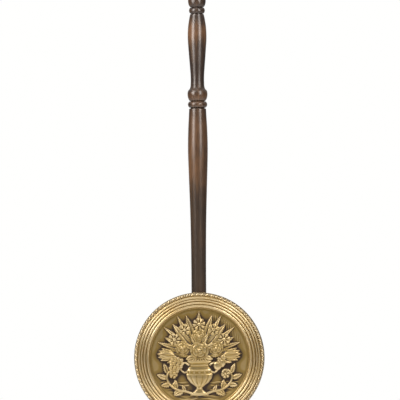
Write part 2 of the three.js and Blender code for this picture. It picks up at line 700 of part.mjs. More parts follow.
function topFinial() {
  const bottom = UPPER_JOINT + GAP;
  const bulb = smooth([point(13.6, 685.5), point(16.5, 690.5), point(17.4, 697), point(16.2, 703.5)], 5);
  const acorn = smooth(
    [
      point(12.2, 708),
      point(11.5, 713),
      point(13.2, 724),
      point(16.2, 739),
      point(15.4, 754),
      point(11.4, 766),
      point(8.6, 770),
    ],
    10,
  );
  const profile = [
    ...boredUp(bottom, STUD_RADIUS, STUD_REACH),
    ...bead(bottom, 683.5, 13, 15.5),
    ...bulb,
    ...acorn,
    ...bead(771, FINIAL_TOP, 8.6, 10.6, 4),
    ...boredDown(FINIAL_TOP, EYE_WIRE_RADIUS, FINIAL_TOP - EYE_SHANK_END),
  ];
  return piece("top_finial", turnedRoundZ(profile, TURNED_STEPS), WOOD);
}

function jointStud(name, joint) {
  const reach = STUD_REACH;
  return piece(name, cylinderAlongZ(STUD_RADIUS, joint - reach, joint + reach), STEEL);
}

// A turned brass cup under the eye.
function eyeCollar() {
  const bottom = FINIAL_TOP + GAP;
  const hole = EYE_WIRE_RADIUS + GAP;
  const profile = [
    point(hole, bottom),
    point(8.2, bottom),
    point(8.4, bottom + 1.2),
    point(6, bottom + 2.4),
    point(4.6, bottom + COLLAR_HEIGHT),
    point(hole, bottom + COLLAR_HEIGHT),
  ];
  return piece("eye_collar", turnedRoundZ(profile, TURNED_STEPS), BRASS);
}

function hangingEye() {
  const ring = new THREE.TorusGeometry(EYE_RADIUS, EYE_WIRE_RADIUS, 8, 24)
    .rotateX(Math.PI / 2)
    .translate(0, 0, EYE_HEIGHT);
  const shank = cylinderAlongZ(EYE_WIRE_RADIUS, EYE_SHANK_END, EYE_HEIGHT - EYE_RADIUS);
  return piece("hanging_eye", geometryOf(joined(ring, shank)), BRASS);
}

// ---- Assembly ----

const panParts = new THREE.Group();
panParts.position.set(0, -HANDLE_BACK, -EYE_HEIGHT);
panParts.add(
  panBowl(),
  rimWire(),
  lidShell(),
  lidHingeLeaf(),
  panHingeLeaf(),
  hingePin(),
  ...lidRivets(),
  handleSocket(),
  ...socketRivets(),
  handleBolt(),
  boltWasher(),
  lowerShaft(),
);

const handleParts = new THREE.Group();
handleParts.position.set(0, 0, -EYE_HEIGHT);
handleParts.add(
  middleGrip(),
  topFinial(),
  jointStud("lower_stud", LOWER_JOINT),
  jointStud("upper_stud", UPPER_JOINT),
  eyeCollar(),
  hangingEye(),
);

const warmingPan = new THREE.Group();
warmingPan.add(panParts, handleParts);

export default warmingPan;
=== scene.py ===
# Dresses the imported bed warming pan: brass pan and relief lid, turned walnut handle, plain studio.
from math import atan, cos, pi, radians, sin, sqrt

import bmesh
import bpy
import numpy as np
from mathutils import Matrix, Vector


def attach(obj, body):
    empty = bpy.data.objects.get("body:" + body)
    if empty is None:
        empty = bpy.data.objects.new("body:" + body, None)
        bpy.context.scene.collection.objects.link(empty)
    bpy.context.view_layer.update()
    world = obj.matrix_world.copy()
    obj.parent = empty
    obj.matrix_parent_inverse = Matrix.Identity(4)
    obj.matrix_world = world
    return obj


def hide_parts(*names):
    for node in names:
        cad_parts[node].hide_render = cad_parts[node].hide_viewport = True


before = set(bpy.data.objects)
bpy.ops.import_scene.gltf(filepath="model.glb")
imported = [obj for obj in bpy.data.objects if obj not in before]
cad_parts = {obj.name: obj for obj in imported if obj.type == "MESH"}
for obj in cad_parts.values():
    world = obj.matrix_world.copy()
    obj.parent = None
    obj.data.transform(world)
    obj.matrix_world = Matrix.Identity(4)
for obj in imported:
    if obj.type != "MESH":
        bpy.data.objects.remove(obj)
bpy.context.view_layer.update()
print("frame loaded:", len(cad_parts), "nodes")

# Sizes are in millimetres. The pan's own frame has its origin in the middle of the rim's plane:
# X to the viewer's right, Y back towards the base ("back"), Z up towards the handle.
place = {
    "panCentre": (0, -33, -800),  # of the pan's frame in the frame of the row
    "handleBack": 33,  # the handle's axis, in the pan's frame
    "hinge": (9.2, 122.4),  # back and up
}


def addObject(name, data):
    thing = bpy.data.objects.new(name, data)
    bpy.context.scene.collection.objects.link(thing)
    return thing


def meshPiece(name, points, faces, crease=40):
    # points are in millimetres in the pan's frame
    mesh = bpy.data.meshes.new(name)
    spots = (np.array(points, float) + place["panCentre"]) * 0.001
    mesh.from_pydata(spots.tolist(), [], faces)
    mesh.update()
    piece = addObject(name, mesh)
    mesh.shade_smooth()
    if crease < 180:
        mesh.set_sharp_from_angle(angle=radians(crease))
    return piece


def faceOutwards(piece):
    work = bmesh.new()
    work.from_mesh(piece.data)
    bmesh.ops.remove_doubles(work, verts=work.verts, dist=1e-7)
    bmesh.ops.recalc_face_normals(work, faces=work.faces)
    work.to_mesh(piece.data)
    work.free()
    return piece


def setPatinaAndShade(piece, values):
    # one number for each vertex, which the materials read: patina on the brass, and dirt with painted shade
    # in the walnut's grooves
    layer = piece.data.attributes.new("patina", "FLOAT", "POINT")
    layer.data.foreach_set("value", np.asarray(values, np.float32))


def ringPoint(about, a, b, along):
    # a and b lie across the axis that a shell is turned about
    if about == "pan":
        return a, along, b
    if about == "hinge":
        return along, place["hinge"][0] - a, place["hinge"][1] + b
    return a, b + (place["handleBack"] if about == "handle" else 0), along


def turnedShell(profile, steps, about="pan"):
    # turns a profile of (radius, along); it touches the axis at both ends or closes on itself
    profile = [tuple(p) for p in profile]
    points, rings = [], []
    for radius, along in profile:
        count = steps if radius > 1e-6 else 1
        rings.append(range(len(points), len(points) + count))
        for i in range(count):
            angle = 2 * pi * i / steps
            points.append(ringPoint(about, radius * sin(angle), radius * cos(angle), along))
    after = rings[1:] + (rings[:1] if profile[0][0] > 1e-6 else [])
    faces = []
    for low, high in zip(rings, after):
        for i in range(steps):
            j = (i + 1) % steps
            corners = [low[i % len(low)], low[j % len(low)], high[j % len(high)], high[i % len(high)]]
            faces.append(tuple(dict.fromkeys(corners)))
    area = sum(p[0] * q[1] - q[0] * p[1] for p, q in zip(profile, profile[1:] + profile[:1]))
    if (area < 0) == (about in ("pan", "hinge")):
        faces = [face[::-1] for face in faces]
    return points, faces


def joinShells(*shells):
    points, faces = [], []
    for shellPoints, shellFaces in shells:
        start = len(points)
        points += shellPoints
        faces += [tuple(i + start for i in face) for face in shellFaces]
    return points, faces


def gridFaces(rows, cols, start=0):
    # over points that lie row by row
    corners = [start + row * cols + col for row in range(rows - 1) for col in range(cols - 1)]
    return [(a, a + 1, a + cols + 1, a + cols) for a in corners]


def loopFaces(rows, cols, closed=True):
    # the same where each row is a ring, and the last row may lead back to the first
    faces = []
    for row in range(rows if closed else rows - 1):
        here, after = row * cols, (row + 1) % rows * cols
        for col in range(cols):
            beside = (col + 1) % cols
            faces.append((here + col, here + beside, after + beside, after + col))
    return faces


def borderOf(rows, cols):
    # the edge of a grid of points, in order
    edge = [(0, col) for col in range(cols)] + [(row, cols - 1) for row in range(1, rows)]
    edge += [(rows - 1, col) for col in range(cols - 2, -1, -1)]
    return edge + [(row, 0) for row in range(rows - 2, 0, -1)]


def plateFaces(rows, cols):
    # closes two equal grids of points, one after the other, into a plate
    under = rows * cols
    faces = []
    for quad in gridFaces(rows, cols):
        faces += [quad, tuple(under + i for i in quad[::-1])]
    edge = [row * cols + col for row, col in borderOf(rows, cols)]
    return faces + [(b, a, under + a, under + b) for a, b in zip(edge, edge[1:] + edge[:1])]


def curveThrough(points, steps):
    # a smooth run through a list of points
    run = np.array([points[0], *points, points[-1]], float)
    out = []
    for a, b, c, d in zip(run, run[1:], run[2:], run[3:]):
        for t in np.linspace(0, 1, steps, endpoint=False):
            square, cube = (2 * a - 5 * b + 4 * c - d) * t * t, (3 * b - a - 3 * c + d) * t**3
            out.append(0.5 * (2 * b + (c - a) * t + square + cube))
    out.append(run[-2])
    return np.array(out)


def arc(centre, radius, start, end, steps):
    angles = np.radians(np.linspace(start, end, steps + 1))
    return [(centre[0] + radius * cos(a), centre[1] + radius * sin(a)) for a in angles]


def keepResult(piece):
    # turns what the modifiers make into the piece's own mesh
    view = bpy.context.evaluated_depsgraph_get()
    result = bpy.data.meshes.new_from_object(piece.evaluated_get(view))
    piece.modifiers.clear()
    piece.data = result
    return piece


bench = {"tree": None}  # the node tree at work


def setInputs(node, inputs):
    # another node's output is linked, and a plain value is set on the socket itself
    for key, value in inputs.items():
        socket = node.inputs[key]
        if isinstance(value, bpy.types.NodeSocket):
            node.id_data.links.new(value, socket)
        else:
            socket.default_value = (*value, 1) if socket.type == "RGBA" else value
    return node


def addNode(kind, inputs=None, **settings):
    node = bench["tree"].nodes.new(kind)
    for key, value in settings.items():
        setattr(node, key, value)
    return setInputs(node, inputs or {})


def newMaterial(name):
    material = bpy.data.materials.new(name)
    material.use_nodes = True
    bench["tree"] = material.node_tree
    shader = material.node_tree.nodes["Principled BSDF"]
    return material, shader, addNode("ShaderNodeTexCoord").outputs["Object"]


def noise(coords, scale, detail, roughness, along=1):
    # a pattern with along under 1 is drawn out along the handle
    if along != 1:
        coords = addNode("ShaderNodeMapping", {"Vector": coords, "Scale": (1, 1, along)}).outputs[0]
    inputs = {"Vector": coords, "Scale": scale, "Detail": detail, "Roughness": roughness}
    return addNode("ShaderNodeTexNoise", inputs).outputs["Fac"]


# the number set on the vertices: patina on the brass, and on the walnut dirt with painted shade in the
# grooves
def patinaAndShadeNumber():
    return addNode("ShaderNodeAttribute", attribute_name="patina").outputs["Fac"]


def ramp(value, stops):
    node = addNode("ShaderNodeValToRGB", {"Fac": value})
    elements = node.color_ramp.elements
    while len(elements) < len(stops):
        elements.new(0.5)
    for element, (position, colour) in zip(elements, stops):
        element.position = position
        element.color = (*colour, 1)
    return node.outputs["Color"]


def span(value, low, high, toLow=0.0, toHigh=1.0):
    inputs = {"Value": value, "From Min": low, "From Max": high, "To Min": toLow, "To Max": toHigh}
    return addNode("ShaderNodeMapRange", inputs, clamp=True).outputs[0]


def combine(operation, a, b):
    return addNode("ShaderNodeMath", {0: a, 1: b}, operation=operation).outputs[0]


def weigh(a, shareA, b, shareB):
    return combine("ADD", combine("MULTIPLY", a, shareA), combine("MULTIPLY", b, shareB))


def mixColour(factor, a, b):
    return addNode("ShaderNodeMix", {0: factor, 6: a, 7: b}, data_type="RGBA").outputs[2]


def bump(height, strength, distance):
    inputs = {"Height": height, "Strength": strength, "Distance": distance}
    return addNode("ShaderNodeBump", inputs).outputs[0]


brassLooks = {
    "lidBrass": {
        "bright": (0.78, 0.61, 0.345), "warm": (0.68, 0.48, 0.21),
        "aged": (0.385, 0.245, 0.060), "patina": (0.046, 0.024, 0.012),
        "polish": 0.28, "tarnish": 0.05, "scratch": 0.012, "lacquer": 0.6,
    },
    "ropeBrass": {
        "bright": (0.76, 0.61, 0.37), "warm": (0.70, 0.53, 0.29),
        "aged": (0.36, 0.26, 0.13), "patina": (0.060, 0.036, 0.026),
        "polish": 0.30, "tarnish": 0.12, "scratch": 0.02, "lacquer": 0.5,
    },
    "panBrass": {
        "bright": (0.50, 0.35, 0.16), "warm": (0.40, 0.255, 0.11),
        "aged": (0.27, 0.17, 0.072), "patina": (0.07, 0.045, 0.03),
        "polish": 0.34, "tarnish": 0.25, "scratch": 0.05, "lacquer": 0.15,
    },
    "fittingBrass": {
        "bright": (0.52, 0.37, 0.18), "warm": (0.41, 0.27, 0.12),
        "aged": (0.28, 0.18, 0.078), "patina": (0.06, 0.04, 0.028),
        "polish": 0.32, "tarnish": 0.2, "scratch": 0.03, "lacquer": 0.25,
    },
}
brassSurface = {
    # scale, detail and roughness of each noise, and how far it is drawn out
    "cloud": (26, 4, 0.55),
    "speck": (420, 3, 0.6),
    "dull": (55, 5, 0.65),
    "hairline": (900, 2, 0.5, 0.12),
    "uneven": 0.07,  # how far the roughness varies
    "stainRough": 0.28,  # what the darkest stain adds to the roughness
    "stainMetal": 0.75,  # and what it leaves of the metal
    "bumpDepth": 0.0006,
    "lacquerRough": 0.3,
}


def brassMaterial(name):
    look, surface = brassLooks[name], brassSurface
    material, shader, coords = newMaterial(name)
    kinds = ("cloud", "speck", "dull", "hairline")
    cloud, speck, dull, hairline = (noise(coords, *surface[kind]) for kind in kinds)
    dull = span(dull, 0.5, 0.8, 0, look["tarnish"] * 2)
    dull = combine("MULTIPLY", dull, span(speck, 0.3, 0.7, 0.5, 1.0))
    stain = span(combine("ADD", patinaAndShadeNumber(), dull), 0, 1)
    colour = mixColour(span(cloud, 0.35, 0.68), look["bright"], look["warm"])
    colour = mixColour(span(stain, 0, 0.35), colour, look["aged"])
    colour = mixColour(span(stain, 0.35, 1), colour, look["patina"])
    rough = span(cloud, 0.3, 0.75, look["polish"], look["polish"] + surface["uneven"])
    setInputs(shader, {
        "Base Color": colour,
        "Metallic": span(stain, 0, 1, 1.0, surface["stainMetal"]),
        "Roughness": combine("ADD", rough, combine("MULTIPLY", stain, surface["stainRough"])),
        "Normal": bump(weigh(speck, 0.6, hairline, 0.4), look["scratch"], surface["bumpDepth"]),
        "Coat Weight": look["lacquer"],
        "Coat Roughness": surface["lacquerRough"],
    })
    return material


walnutLook = {
    "dark": (0.021, 0.009, 0.004),
    "middle": (0.050, 0.024, 0.0108),
    "light": (0.148, 0.076, 0.035),
    "warm": (0.225, 0.100, 0.038),
    "smoke": (0.026, 0.0160, 0.0130),
    "base": (0.056, 0.036, 0.020),
    # near black, for dirt and painted shade where the outline dips in
    "grimeAndShade": (0.012, 0.006, 0.004),
    # scale, detail and roughness of each noise, and how far it is drawn out along the grain
    "fibre": (330, 6, 0.62, 0.035),
    "figure": (70, 4, 0.6, 0.09),
    "pores": (900, 2, 0.5, 0.03),
    "mottle": (16, 3, 0.6, 0.6),
    # height of the row in metres, and how warm the stain is there, from 0 to 1
    "warmth": [
        (-0.68, 0.45), (-0.60, 0.25), (-0.54, 0.25), (-0.47, 0.5), (-0.40, 0.75), (-0.36, 0.7), (-0.31, 0.5),
        (-0.29, 0.8), (-0.27, 0.35), (-0.23, 0.05), (-0.195, 0.4), (-0.165, 0.9), (-0.135, 0.3), (-0.06, 0.5),
    ],
    "patchy": 0.45,  # how far the mottle moves the warmth
    "gloss": (1.0, 0.86, 0.74),
    "polish": (0.33, 0.41),  # roughness, from the smoothest to the dullest patch
    "grimeRough": 0.15,
    "varnish": 0.9,
    "varnishRough": 0.27,
    "bump": (0.02, 0.0003),
}


def walnutMaterial():
    look = walnutLook
    material, shader, coords = newMaterial("walnut")
    kinds = ("fibre", "figure", "pores", "mottle")
    fibre, figure, pores, mottle = (noise(coords, *look[kind]) for kind in kinds)
    grain = weigh(fibre, 0.55, figure, 0.45)
    colour = ramp(grain, [(0.37, look["dark"]), (0.50, look["middle"]), (0.64, look["light"])])
    height = addNode("ShaderNodeSeparateXYZ", {"Vector": coords}).outputs["Z"]
    low, high = look["warmth"][0][0], look["warmth"][-1][0]
    stops = [((z - low) / (high - low), (w, w, w)) for z, w in look["warmth"]]
    patches = span(mottle, 0.3, 0.7, -look["patchy"], look["patchy"])
    warmth = combine("ADD", ramp(span(height, low, high), stops), patches)
    colour = mixColour(span(warmth, 0.4, 1.1, 0, 0.85), colour, look["warm"])
    colour = mixColour(span(warmth, 0.4, -0.1, 0, 0.8), colour, look["smoke"])
    colour = mixColour(span(height, -0.66, -0.40, 0.6, 0.0), colour, look["base"])
    colour = mixColour(span(pores, 0.56, 0.70, 0, 0.5), colour, look["dark"])
    # dirt and painted shade: the wood is darkened and loses its varnish where the outline dips in
    grimeAndShade = patinaAndShadeNumber()
    rough = span(mottle, 0.3, 0.7, *look["polish"])
    setInputs(shader, {
        "Base Color": mixColour(grimeAndShade, colour, look["grimeAndShade"]),
        "Roughness": combine("ADD", rough, combine("MULTIPLY", grimeAndShade, look["grimeRough"])),
        "Specular IOR Level": 0.5,
        "Specular Tint": look["gloss"],
        "Coat Weight": span(grimeAndShade, 0, 0.5, look["varnish"], 0),
        "Coat Roughness": look["varnishRough"],
        "Normal": bump(weigh(pores, 0.5, fibre, 0.5), *look["bump"]),
    })
    return material


steelLook = {
    "bare": (0.23, 0.22, 0.205),
    "rust": (0.10, 0.062, 0.042),
    "noise": (180, 5, 0.65),
    "bump": (0.2, 0.0004),
}


def steelMaterial():
    look = steelLook
    material, shader, coords = newMaterial("steel")
    rust = noise(coords, *look["noise"])
    setInputs(shader, {
        "Base Color": mixColour(span(rust, 0.5, 0.72), look["bare"], look["rust"]),
        "Metallic": span(rust, 0.5, 0.72, 0.95, 0.4),
        "Roughness": span(rust, 0.35, 0.7, 0.38, 0.7),
        "Normal": bump(rust, *look["bump"]),
    })
    return material


materials = {name: brassMaterial(name) for name in brassLooks}
materials["walnut"] = walnutMaterial()
materials["steel"] = steelMaterial()
print("materials made")


def finishPiece(piece, finish, *nodes, body="pan_and_handle"):
    piece.data.materials.clear()
    piece.data.materials.append(materials[finish])
    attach(piece, body)
    if nodes:
        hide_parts(*nodes)


def solidPiece(name, shell, crease, finish, *nodes, body="pan_and_handle"):
    finishPiece(faceOutwards(meshPiece(name, *shell, crease)), finish, *nodes, body=body)


def startTree(name, sockets):
    tree = bpy.data.node_groups.new(name, "GeometryNodeTree")
    tree.interface.new_socket("Geometry", in_out="INPUT", socket_type="NodeSocketGeometry")
    keys = {}
    for label, kind in sockets.items():
        keys[label] = tree.interface.new_socket(label, in_out="INPUT", socket_type=kind).identifier
    tree.interface.new_socket("Geometry", in_out="OUTPUT", socket_type="NodeSocketGeometry")
    bench["tree"] = tree
    return tree, addNode("NodeGroupInput").outputs, keys


def endTree(source, points, shape, turn, more, weld=None):
    # a copy of the shape on every point, made real, and welded where the copies meet
    inputs = {"Points": points, "Instance": shape, "Rotation": turn, **more}
    copies = addNode("GeometryNodeInstanceOnPoints", inputs)
    real = addNode("GeometryNodeRealizeInstances", {"Geometry": copies.outputs[0]})
    if weld:
        real = addNode("GeometryNodeMergeByDistance", {"Geometry": real.outputs[0], "Distance": weld})
    inputs = {"Geometry": real.outputs[0], "Material": source["Material"]}
    addNode("NodeGroupOutput", {0: addNode("GeometryNodeSetMaterial", inputs).outputs[0]})


def roundTree():
    # repeats one section of a ring all the way round the Y axis and welds the seams
    sockets = {"Count": "NodeSocketInt", "Weld Distance": "NodeSocketFloat", "Material": "NodeSocketMaterial"}
    tree, source, keys = startTree("repeatRound", sockets)
    spots = addNode("GeometryNodePoints", {"Count": source["Count"]})
    index = addNode("GeometryNodeInputIndex")
    step = combine("DIVIDE", 2 * pi, source["Count"])
    turn = addNode("ShaderNodeCombineXYZ", {"Y": combine("MULTIPLY", index.outputs[0], step)})
    turn = addNode("FunctionNodeEulerToRotation", {"Euler": turn.outputs[0]})
    endTree(source, spots.outputs[0], source["Geometry"], turn.outputs[0], {}, source["Weld Distance"])
    return tree, keys


def spotTree():
    # puts a copy of one object on every point, with its Z along the point's own "facing"
    sockets = {"Fastener": "NodeSocketObject", "Scale": "NodeSocketFloat", "Material": "NodeSocketMaterial"}
    tree, source, keys = startTree("fastenersOnSpots", sockets)
    shape = addNode("GeometryNodeObjectInfo", {"Object": source["Fastener"]}).outputs["Geometry"]
    facing = addNode("GeometryNodeInputNamedAttribute", {"Name": "facing"}, data_type="FLOAT_VECTOR")
    turn = addNode("FunctionNodeAlignRotationToVector", {"Vector": facing.outputs[0]}, axis="Z")
    endTree(source, source["Geometry"], shape, turn.outputs[0], {"Scale": source["Scale"]})
    return tree, keys


roundNodes = roundTree()
spotNodes = spotTree()


def runNodes(piece, nodes, values):
    tree, keys = nodes
    modifier = piece.modifiers.new(tree.name, "NODES")
    modifier.node_group = tree
    for label, value in values.items():
        modifier[keys[label]] = value
    return keepResult(piece)


def repeatRound(name, section, count, finish):
    # section is one slice of the ring, in millimetres about the pan's axis
    points, faces = section
    piece = meshPiece(name, np.array(points) - place["panCentre"], faces, 180)
    runNodes(piece, roundNodes, {"Count": count, "Weld Distance": 2e-6, "Material": materials[finish]})
    piece.data.transform(Matrix.Translation(Vector(place["panCentre"]) * 0.001))
    return faceOutwards(piece)


def fastenersOn(name, spots, shell, finish):
    # spots are (point, facing) in the pan's frame; shell is one fastener along Z about the origin
    points, faces = shell
    model = meshPiece(name + "Model", np.array(points) - place["panCentre"], faces, 50)
    piece = meshPiece(name, [point for point, _ in spots], [])
    layer = piece.data.attributes.new("facing", "FLOAT_VECTOR", "POINT")
    layer.data.foreach_set("vector", np.array([facing for _, facing in spots], np.float32).ravel())
    runNodes(piece, spotNodes, {"Fastener": model, "Scale": 1.0, "Material": materials[finish]})
    bpy.data.objects.remove(model)
    piece.data.attributes.remove(piece.data.attributes["facing"])
    return piece


camera = {
    "picture": 400,  # pixels across
    "sensor": 36,
    "pixel": 1.95,  # mm of the object for each pixel of the picture
    "distance": 8000,
    "panAt": (199.34, 357.5),  # where the pan's centre falls
    "lean": 0.40,  # degrees that the picture turns the object to the left
    "sharpAt": -20,  # depth at which the pixel size holds
}


def addCamera():
    data = bpy.data.cameras.new("studioCamera")
    data.sensor_width = camera["sensor"]
    depth = camera["distance"] + camera["sharpAt"]
    data.lens = camera["sensor"] * depth / (camera["picture"] * camera["pixel"])
    view = addObject("studioCamera", data)
    lean = radians(camera["lean"])
    across = (camera["picture"] / 2 - camera["panAt"][0]) * camera["pixel"]
    up = (camera["panAt"][1] - camera["picture"] / 2) * camera["pixel"]
    # the picture is turned about the pan's centre
    side = across * cos(lean) + up * sin(lean)
    height = place["panCentre"][2] + up * cos(lean) - across * sin(lean)
    turn = Matrix.Rotation(lean, 4, "Y") @ Matrix.Rotation(radians(90), 4, "X")
    view.matrix_world = Matrix.Translation(Vector((side, -camera["distance"], height)) * 0.001) @ turn
    bpy.context.scene.camera = view


addCamera()

pan = {
    "depth": 66,
    "sheet": 1.2,
    "wallTop": (117.5, 4),  # outer radius of the wall, and how far back it has it
    "wallFront": 7.5,
    "taper": 0.17,
    "corner": 12,
    "foot": (70, 80),  # inner and outer radius of the flat ring
    "dish": 1.5,
    "spun": (52, 30),  # two shallow rings left by the spinning tool
    "roll": (2.0, 3.2),  # inner and outer radius of the rolled rim
    "steps": 168,
}


def wallRadius(back):
    return pan["wallTop"][0] - pan["taper"] * (back - pan["wallTop"][1])


def panShell():
    slope = atan(pan["taper"])
    sheet, corner, depth = pan["sheet"], pan["corner"], pan["depth"]
    inner, outer = pan["roll"]
    rollCentre = (wallRadius(outer) + inner, outer)
    cornerCentre = (wallRadius(depth - corner) - corner / cos(slope), depth - corner)
    slopeDegrees = slope * 180 / pi
    foot, footEdge = pan["foot"]
    flat = depth - pan["dish"]
    base = [(foot, depth), (foot - 0.6, depth - 0.1), (foot - 1.6, depth - 0.8)]
    base += [(foot - 2.6, depth - 1.4), (foot - 3.4, flat)]
    for radius in pan["spun"]:
        base += [(radius + 1.4, flat), (radius + 0.7, flat + 0.25), (radius, flat + 0.35)]
        base += [(radius - 0.7, flat + 0.25), (radius - 1.4, flat)]
    underside = [(0, flat), *base[::-1]]
    wallOut = [(wallRadius(b), b) for b in np.linspace(depth - corner - 1, pan["wallFront"], 10)]
    profile = [
        *underside,
        (footEdge, depth),
        *arc(cornerCentre, corner, 90, slopeDegrees, 12),
        *wallOut,
        *arc(rollCentre, inner, 180, 468, 18),
        *arc(rollCentre, outer, 468, 180, 24),
        *[(r - sheet / cos(slope), b) for r, b in wallOut[::-1]],
        *arc(cornerCentre, corner - sheet, slopeDegrees, 90, 10),
        (footEdge, depth - sheet),
        *[(r, b - sheet) for r, b in underside[::-1]],
    ]
    solidPiece("panBody", turnedShell(profile, pan["steps"]), 50, "panBrass", "pan_bowl")


panShell()
print("pan made")

plates = {
    "halfWidth": 32,
    "corner": 9,
    "leaf": {"front": 10.8, "end": 54, "inner": 0.05, "outer": 1.3},
    "flange": {"front": 12.6, "end": 54, "inner": 1.35, "outer": 3.4},
    "bevel": 0.45,
}


def wallPlate(kind):
    # follows the pan's wall, at two distances from it
    half, corner, bevel = plates["halfWidth"], plates["corner"], plates["bevel"]
    front, end, inner, outer = (plates[kind][key] for key in ("front", "end", "inner", "outer"))
    ease = np.sin(np.linspace(0, pi / 2, 7)) * corner
    middle = np.linspace(front + corner, end - corner, 9)
    backs = sorted({*(front + corner - ease), *middle, *(end - corner + ease)})
    backs = [backs[0], backs[0] + bevel * 0.6, *backs[1:-1], backs[-1] - bevel * 0.6, backs[-1]]
    across = [-1, *np.linspace(-0.985, 0.985, 33), 1]
    points = []
    for offset, drop in ((outer, bevel), (inner, 0)):
        for row, back in enumerate(backs):
            near = min(back - front, end - back)
            short = corner - sqrt(max(corner**2 - (corner - min(near, corner)) ** 2, 0))
            for col, share in enumerate(across):
                edge = row in (0, len(backs) - 1) or col in (0, len(across) - 1)
                radius = wallRadius(back) + offset - (drop if edge else 0)
                x = share * (half - short)
                points.append((x, back, sqrt(radius**2 - x * x)))
    return points, plateFaces(len(backs), len(across))


socket = {"radius": 17.3, "bore": 14.9, "top": 124.5, "fillet": 3.2, "lip": 0.35, "steps": 96}


def ringSpots(reach, steps):
    # x and back of a ring round the handle's axis
    angles = [2 * pi * i / steps for i in range(steps)]
    return [(reach * sin(a), place["handleBack"] + reach * cos(a)) for a in angles]


def socketCup():
    # each row is a ring with its radius and its height over the curved flange or the cup's top
    fillet, radius, bore, top = socket["fillet"], socket["radius"], socket["bore"], socket["top"]
    lip = radius + socket["lip"]
    rows = []
    for angle in np.radians(np.linspace(0, 90, 7)):
        rows.append((radius + fillet * (1 - sin(angle)), "flange", fillet * (1 - cos(angle)) - 0.15))
    rows += [(radius, "top", -1.6), (lip, "top", -1.2), (lip, "top", -0.5), (radius, "top", -0.1)]
    rows += [(radius - 0.6, "top", 0), (bore + 0.5, "top", 0), (bore, "top", -0.4), (bore, "flange", 0.3)]
    points = []
    for reach, mode, lift in rows:
        for x, back in ringSpots(reach, socket["steps"]):
            height = top + lift
            if mode == "flange":
                height = sqrt((wallRadius(back) + plates["flange"]["outer"]) ** 2 - x * x) + lift
                if reach <= radius + 0.01:
                    height = min(height, top - 1.7)
            points.append((x, back, height))
    return points, loopFaces(len(rows), socket["steps"])


socketShell = joinShells(wallPlate("flange"), socketCup())
solidPiece("handleSocket", socketShell, 35, "fittingBrass", "handle_socket")

hinge = {
    "knuckle": 3.0,
    "bore": 1.62,
    "pin": 1.5,
    "pinEnd": 18.4,
    "lidHalf": 6.4,
    "panNear": 7.0,
    "panFar": 18.0,
    "sheet": 1.0,
    "leafHalf": 14,
    "leafRadius": 125.95,  # just inside the lid's skirt
    "leafBacks": (0.2, 0.6, 4.8, 5.5),
    "tongueFront": 4.6,
}


def knuckleTube(near, far):
    r, bore, edge = hinge["knuckle"], hinge["bore"], 0.35
    profile = [(bore, near), (r - edge, near), (r, near + edge)]
    profile += [(r, far - edge), (r - edge, far), (bore, far)]
    return turnedShell(profile, 40, "hinge")


def block(xs, backs, ups):
    points = [(x, y, z) for z in ups for y in backs for x in xs]
    faces = [(0, 2, 3, 1), (4, 5, 7, 6), (0, 1, 5, 4), (2, 6, 7, 3), (0, 4, 6, 2), (1, 3, 7, 5)]
    return points, faces


def panHinge():
    shells = [wallPlate("leaf")]
    back, up = place["hinge"]
    rear = back + hinge["knuckle"]
    for side in (-1, 1):
        near, far = sorted((side * hinge["panNear"], side * hinge["panFar"]))
        shells.append(knuckleTube(near, far))
        shells.append(block((near, far), (rear - hinge["sheet"], rear), (wallRadius(rear) + 0.1, up)))
    solidPiece("panHingeLeaf", joinShells(*shells), 35, "panBrass", "pan_hinge_leaf")


def lidHinge():
    outer, sheet, half, backs = hinge["leafRadius"], hinge["sheet"], hinge["lidHalf"], hinge["leafBacks"]
    angles = np.linspace(-1, 1, 25) * (hinge["leafHalf"] / outer)
    points = [(r * sin(a), b, r * cos(a)) for r in (outer, outer - sheet) for b in backs for a in angles]
    back, up = place["hinge"]
    top = up + hinge["knuckle"]
    tongue = block((-half, half), (hinge["tongueFront"], back), (top - sheet, top))
    leaf = (points, plateFaces(len(backs), len(angles)))
    shell = joinShells(leaf, tongue, knuckleTube(-half, half))
    solidPiece("lidHingeLeaf", shell, 35, "fittingBrass", "lid_hinge_leaf", body="lid")


def pinPiece():
    far, radius = hinge["pinEnd"], hinge["pin"]
    head = [(2.0, far), (2.3, far + 0.3), (2.1, far + 0.8), (1.2, far + 1.1), (0, far + 1.2)]
    profile = [(r, -a) for r, a in head[::-1]] + [(radius, -far), (radius, far)] + head
    shell = turnedShell(profile, 32, "hinge")
    solidPiece("hingePin", shell, 50, "steel", "hinge_pin")


panHinge()
lidHinge()
pinPiece()
print("hinge made")

rivets = {
    "socket": {
        "radius": 1.5, "head": 3.2, "rise": 1.8, "inside": 1.2, "top": 3.38,
        "angle": 0.23, "backs": (20, 46),
    },
    "lid": {
        "radius": 1.1, "head": 2.0, "rise": 0.85, "inside": 2.0, "top": 0.0,
        "angle": 0.075, "backs": (2.5,), "reach": 127,
    },
}


def rivetShell(sizes):
    shank, head, rise, top, inside = (sizes[key] for key in ("radius", "head", "rise", "top", "inside"))
    domeTop = [(head * cos(a), top + rise * sin(a)) for a in np.linspace(0, pi / 2, 8)[:-1]]
    domeLow = [(head * 0.85 * cos(a), -inside - rise * 0.6 * sin(a)) for a in np.linspace(0, pi / 2, 6)[:-1]]
    profile = [(0, -inside - rise * 0.6), *domeLow[::-1], (shank, -inside)]
    profile += [(shank, top), *domeTop, (0, top + rise)]
    return turnedShell(profile, 24, "origin")


def rivetSpots(sizes, slope):
    # in pairs, one on each side of the hinge, and square to the wall
    spots = []
    for back in sizes["backs"]:
        reach = sizes.get("reach", wallRadius(back))
        for angle in (-sizes["angle"], sizes["angle"]):
            facing = (sin(angle) * cos(slope), sin(slope), cos(angle) * cos(slope))
            spots.append(((reach * sin(angle), back, reach * cos(angle)), facing))
    return spots


